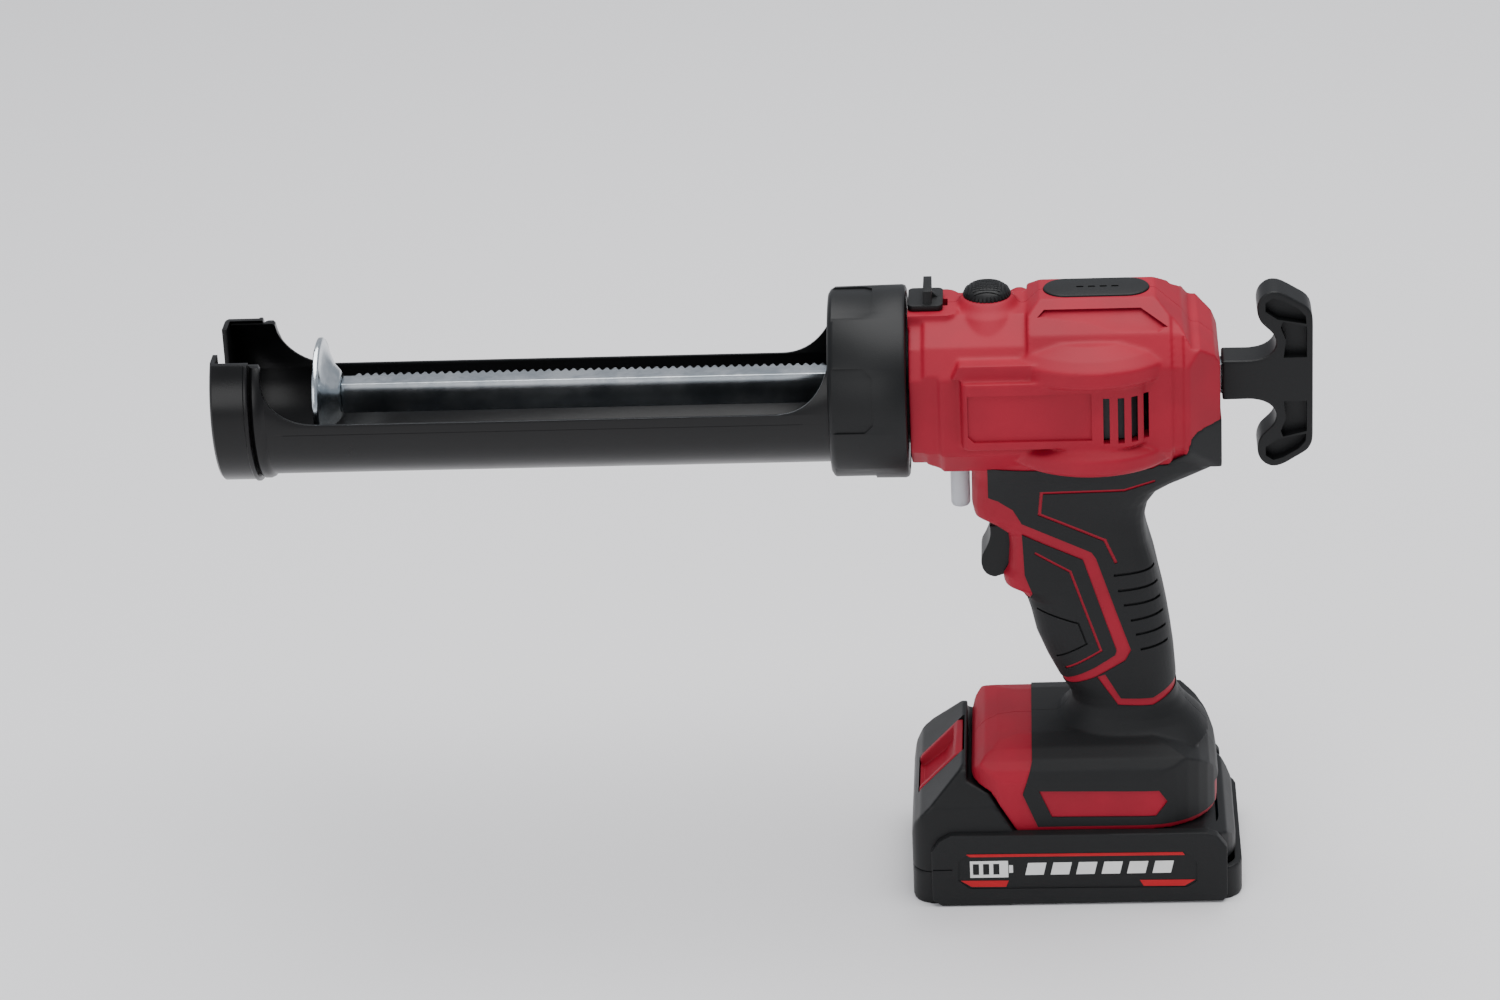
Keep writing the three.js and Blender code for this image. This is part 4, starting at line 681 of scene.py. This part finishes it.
for side, hand in hands:
    half = shared(copied(skin), block(-80, 80, *span(side, 0.06, 60), 0, 240))
    dressed(half, f"overmould_{hand}", soft_black, "soft_black",
            "housing", f"grip_overmould_{hand}", crease=38)
bpy.data.objects.remove(skin)

# ------------------------------------------------------------------ top controls
# The direction slider on its plinth, the speed dial with its cross-cut top and notched rim, and the battery
# gauge's cover, all in the collar's black nylon.

slider = fused(prism("plate", rounded_plan(-55.2, -43.2, 8.2, 2, 2), 217.35, 219.4, "z"),
               block(-49.9, -47.0, -7, 7, 219, 224.2),
               prism("web", [(-47.3, 219.0), (-44.2, 219.0), (-47.3, 222.0)], -1.2, 1.2),
               block(-49.6, -46.2, -2.4, 2.4, 213.5, 218))
slider = edged(slider, 0.5, segments=3)
dressed(slider, "slide_button_cap", moulded_black, "black_plastic", "slide_button", "slide_button")

dial_top = 223.9
dial = lathe("dial", [(219.0, 0), (219.0, 8.2), (220.4, 8.3), (221.9, 7.6), (223.0, 6.2), (223.6, 4.2),
                      (dial_top, 2.0), (dial_top, 0)], 96, "z", (dial_x, 0))
dial = fused(dial, lathe("stem", [(210.5, 0), (210.5, 2.6), (220, 2.6), (220, 0)], 24, "z", (dial_x, 0)))
notch_count = 36
for index in range(notch_count):
    angle = 2 * math.pi * index / notch_count
    notch = lathe("notch", [(218.6, 0), (218.6, 0.32), (223, 0.32), (223, 0)], 6, "z",
                  (dial_x + 8.1 * math.cos(angle), 8.1 * math.sin(angle)))
    dial = cut(dial, notch)
cut_pitch, cut_half = 1.25, 0.2
for step in range(-5, 6):
    middle = step * cut_pitch
    cut_floor = dial_top - 0.35 - step * step * 0.075
    dial = cut(dial, block(dial_x - 9, dial_x + 9, middle - cut_half, middle + cut_half, cut_floor, 224))
    left, right = dial_x + middle - cut_half, dial_x + middle + cut_half
    dial = cut(dial, block(left, right, -9, 9, cut_floor, 224))
dressed(dial, "speed_dial_knob", moulded_black, "black_plastic", "dial", "speed_dial", crease=28)

cover = prism("cover", rounded_plan(-8.6, 27.7, 7.8, 7.7, 7.7, 12), 220.4, 221.8, "z")
cover = edged(cover, 0.45, segments=3)
for index in range(4):
    centre_x = 4.0 + 4.0 * index
    gauge_window = rounded_plan(centre_x - 1.3, centre_x + 1.3, 0.6, 0.55, 0.55, 4)
    cover = cut(cover, prism("window", gauge_window, 221.4, 223, "z"))
dressed(cover, "indicator_cover_pad", moulded_black, "black_plastic", "housing", "indicator_cover")

# ------------------------------------------------------------------ trigger and work light
# The trigger's curved face slides in the grip's front. Over it hangs the work light's frosted light pipe.

trigger_outline = [(-15, 135.2), (-29.3, 135.2)]
trigger_outline += bent((-29.3, 135.2), (-28.3, 130.0), (-30.6, 127.0), (-32.2, 123.6))[1:]
trigger_outline += bent((-32.2, 123.6), (-33.2, 119.5), (-31.5, 115.6), (-27.5, 115.4))[1:]
trigger_outline += [(-22.6, 117), (-15, 117)]
trigger = moulded("trigger", [prism("trigger", trigger_outline, -8, 8)], 0.4, 7)
dressed(trigger, "trigger_blade", moulded_black, "black_plastic", "trigger", "trigger")

frosted = Finish("frosted_lens", Base_Color=tint(206, 209, 214), Roughness=0.38,
                 Transmission_Weight=0.35, IOR=1.46)
frosted.feed(Normal=frosted.bump(frosted.noise(0.8), 0.04))
lens = lathe("lens", [(140.3, 0), (140.3, 2.2), (140.7, 3.0), (141.6, 3.4), (161.2, 3.4), (161.2, 2.2),
                      (164.3, 2.2), (164.3, 0)], 48, "z", (lamp_x, 0))
dressed(lens, "work_light_pipe", frosted, "clear_plastic", "housing", "work_light_lens")

# ------------------------------------------------------------------ battery
# A slide-on pack of five cells in black nylon: lower tray and upper case meet in a shadow line, rubber
# bumper pads guard the sides, and a red latch sits in the front slope.

front_x, rear_x, half_y = -59.5, 57.5, 36.0
tray = moulded("tray", [prism("tray", rounded_plan(front_x, rear_x, half_y, 8, 8), 0, 12.9, "z")], 0.7, 4)
tray = cut(tray, block(-80, 80, -60, 60, -10, 0.0),
           prism("inside", rounded_plan(-57, 55, 33.5, 6, 6), 2.5, 20, "z"),
           block(-80, 80, -60, 60, 12.75, 20))
dressed(tray, "battery_tray", moulded_black, "black_plastic", "battery", "battery_case_lower")

upper_side = [(front_x, 12.0), (55.6, 12.0), (55.6, 19.0), (52.0, 23.6), (44.0, 26.4), (38.0, 27.3),
              (-22.4, 27.3), (-31.4, 41.9), (-39.4, 45.9), (-39.4, 50.4), (-40.8, 50.2), (-56.2, 34.6),
              (-58.6, 30.6), (front_x, 25)]
upper_section = both_sides([(half_y, 5), (half_y, 27.3), (34.6, 38), (27, 49), (20, 52)])
upper = shared(prism("upper", rounded_plan(front_x, 55.6, half_y, 8, 17), 5, 60, "z"),
               prism("side", upper_side, -50, 50), prism("section", upper_section, -70, 70, "x"))
upper = moulded("upper", [upper], 0.6, 6)
upper = cut(upper, block(-80, 80, -60, 60, 0, 13.2),
            prism("inside", rounded_plan(-57, 49.6, 33.5, 6, 15), 12, 24.8, "z"),
            block(-57.2, -40.4, -13.4, 13.4, 21.5, 60))
rails = fused(block(-33, 40, -16, 16, 26.3, 35.5), block(-33, 40, -20, 20, 31.4, 35.5))
rails = cut(rails, block(-18, 37, -13.5, 13.5, 20, 33))
upper = fused(upper, edged(rails, 0.3))
dressed(upper, "battery_upper", moulded_black, "black_plastic", "battery", "battery_case_upper")

bumper_outline = [(-52.6, 2.6), (-49.4, 0.4), (50.4, 0.6), (52, 3), (52, 22), (48.5, 26.8),
                  (45, 28.2), (-45.8, 28.6), (-49.6, 26.4), (-52.6, 22)]
label_outline = [(-43.0, 18.2), (-39.6, 21.6), (37.2, 21.0), (41.3, 16.6), (41.3, 9.0), (37.6, 6.6),
                 (-39.0, 7.2), (-43.2, 10.6)]
for side, hand in hands:
    pad = moulded("pad", [prism("pad", bumper_outline, *span(side, 33.8, 38.4))], 0.45, 6)
    seat = prism("label_seat", label_outline, *span(side, 38.0, 42))
    pad = cut(pad, seat, *groove([(-52, 15.0), (-45.5, 15.0)], 0.5, side, 37.9))
    dressed(pad, f"battery_pad_{hand}", soft_black, "soft_black",
            "battery", f"battery_bumper_{hand}", crease=38)

# Printed marks on each pad: red bars, and a white battery sign with blocks in place of lettering.
print_red = coated("print_red", tint(186, 16, 30), 0.4, 0.8, 0.01, 0.0)
print_white = coated("print_white", tint(232, 232, 230), 0.4, 0.8, 0.01, 0.0)
red_marks = [[(-40.6, 21.0), (-38.8, 19.9), (37.0, 19.4), (36.2, 20.6)],
             [(-42.4, 10.4), (-25.4, 10.2), (-26.4, 7.7), (-38.6, 7.9)],
             [(21.0, 9.6), (40.6, 9.4), (36.8, 7.0), (22.4, 7.2)]]
white_marks = [[(-39, 11.6), (-25.5, 11.6), (-25.5, 18.2), (-39, 18.2)],
               [(-25.2, 13.4), (-23.8, 13.4), (-23.8, 16.4), (-25.2, 16.4)]]
for index in range(6):
    x = -19.5 + 9 * index
    white_marks.append([(x, 12.4), (x + 6.5, 12.4), (x + 7.6, 17.2), (x + 1.1, 17.2)])
for side, hand in hands:
    marks = [fused(*[prism("mark", outline, *span(side, 37.7, 38.12)) for outline in red_marks])]
    marks.append(fused(*[prism("mark", outline, *span(side, 37.7, 38.12)) for outline in white_marks]))
    charge_bars = [block(x, x + 2.2, *span(side, 30, 45), 12.7, 17.1) for x in (-38.0, -34.4, -30.8)]
    dressed(marks[0], f"pad_print_red_{hand}", print_red, "red_plastic", "battery")
    dressed(cut(marks[1], *charge_bars), f"pad_print_white_{hand}", print_white, "clear_plastic", "battery")

latch_outline = [(-56.8, 26.6), (-41.0, 26.6), (-41.0, 48.6), (-43.0, 48.4), (-56.2, 34.9), (-56.8, 33.8)]
scoop_outline = [(-59, 33.0), (-55.2, 31.2), (-47.4, 37.6), (-44.4, 43.0), (-44.0, 60), (-59, 60)]
latch = cut(prism("latch", latch_outline, -13, 13), prism("scoop", scoop_outline, -10.6, 10.6))
latch = edged(latch, 0.45, segments=3)
dressed(latch, "latch_paddle", moulded_red, "red_plastic", "latch", "latch_button")

# ------------------------------------------------------------------ pieces inside
# What shows only through gaps keeps its own shape and gets its real finish: machined steel shafts and gears,
# brass motor pinion and contacts, shrink-wrapped cells, solder-masked boards and black mouldings.

steel = coated("machined_steel", tint(178, 180, 182), 0.3, 0.5, 0.02, 0.0)
steel.feed(Metallic=1.0)
brass = coated("turned_brass", tint(196, 164, 92), 0.3, 0.5, 0.01, 0.0)
brass.feed(Metallic=1.0)
cell_wrap = coated("cell_wrap", tint(44, 111, 143), 0.35, 2.0, 0.01, 0.0)
board_green = coated("board_green", tint(26, 84, 56), 0.42, 0.4, 0.01, 0.0)
inner_finishes = {"steel": steel, "brass": brass, "cell_wrap": cell_wrap, "board_green": board_green,
                  "black_plastic": moulded_black, "soft_black": soft_black, "red_plastic": moulded_red,
                  "zinc": zinc, "black_paint": black_paint, "clear_plastic": frosted}
screen_grey = coated("screen_grey", tint(52, 54, 56), 0.5, 0.4, 0.02, 0.0)
for entry in frame["record"]["subparts"]:
    node = frame["nodes"][entry["node"]]
    if not node.hide_render:
        node.data.materials.clear()
        finish = screen_grey if "vent_screen" in entry["node"] else inner_finishes[entry["material_slot"]]
        node.data.materials.append(finish.material)

# ------------------------------------------------------------------ floor, light and camera
# A pale studio floor under a large overhead softbox, with a weaker fill from the camera's side.

studio = Finish("studio_paper", Base_Color=tint(240, 239, 240), Roughness=0.9)
floor_corners = [(-4000, -2500, 0), (4000, -2500, 0), (4000, 6000, 0), (-4000, 6000, 0)]
floor = piece_from("studio_floor", floor_corners, [(0, 1, 2, 3)])
floor.data.materials.append(studio.material)


def softbox(name, place, aim, size, power):
    light = bpy.data.lights.new(name, "AREA")
    light.shape = "RECTANGLE"
    light.size, light.size_y = size
    light.energy = power
    lamp = bpy.data.objects.new(name, light)
    lamp.location = place
    lamp.rotation_mode = "QUATERNION"
    lamp.rotation_quaternion = (Vector(aim) - Vector(place)).to_track_quat("-Z", "Y")
    bpy.context.scene.collection.objects.link(lamp)


softbox("overhead", (0.1, 0.1, 1.7), (-0.05, 0, 0.1), (2.0, 1.6), 44)
softbox("front_fill", (-0.9, -1.7, 0.9), (-0.05, 0, 0.12), (1.4, 1.0), 12)
world = bpy.data.worlds.new("studio_air")
world.use_nodes = True
world.node_tree.nodes["Background"].inputs["Color"].default_value = (0.9, 0.93, 1.0, 1)
world.node_tree.nodes["Background"].inputs["Strength"].default_value = 0.5
bpy.context.scene.world = world

turn, tilt, roll = math.radians(3.9), math.radians(24.8), math.radians(2.86)
look_at = Vector((-113.2, 0, 143.6)) * MM
distance = 1758.9 * MM
forward = Vector((-math.sin(turn) * math.cos(tilt), math.cos(turn) * math.cos(tilt), -math.sin(tilt)))
level_right = Vector((math.cos(turn), math.sin(turn), 0))
level_up = Vector((-math.sin(turn) * math.sin(tilt), math.cos(turn) * math.sin(tilt), math.cos(tilt)))
right = level_right * math.cos(roll) - level_up * math.sin(roll)
up = level_right * math.sin(roll) + level_up * math.cos(roll)
lens_data = bpy.data.cameras.new("bench_camera")
lens_data.sensor_width = 36
lens_data.lens = 120
camera = bpy.data.objects.new("bench_camera", lens_data)
camera.matrix_world = Matrix((
    (right.x, up.x, -forward.x, 0),
    (right.y, up.y, -forward.y, 0),
    (right.z, up.z, -forward.z, 0),
    (0, 0, 0, 1)))
camera.location = look_at - forward * distance
bpy.context.scene.collection.objects.link(camera)
bpy.context.scene.camera = camera
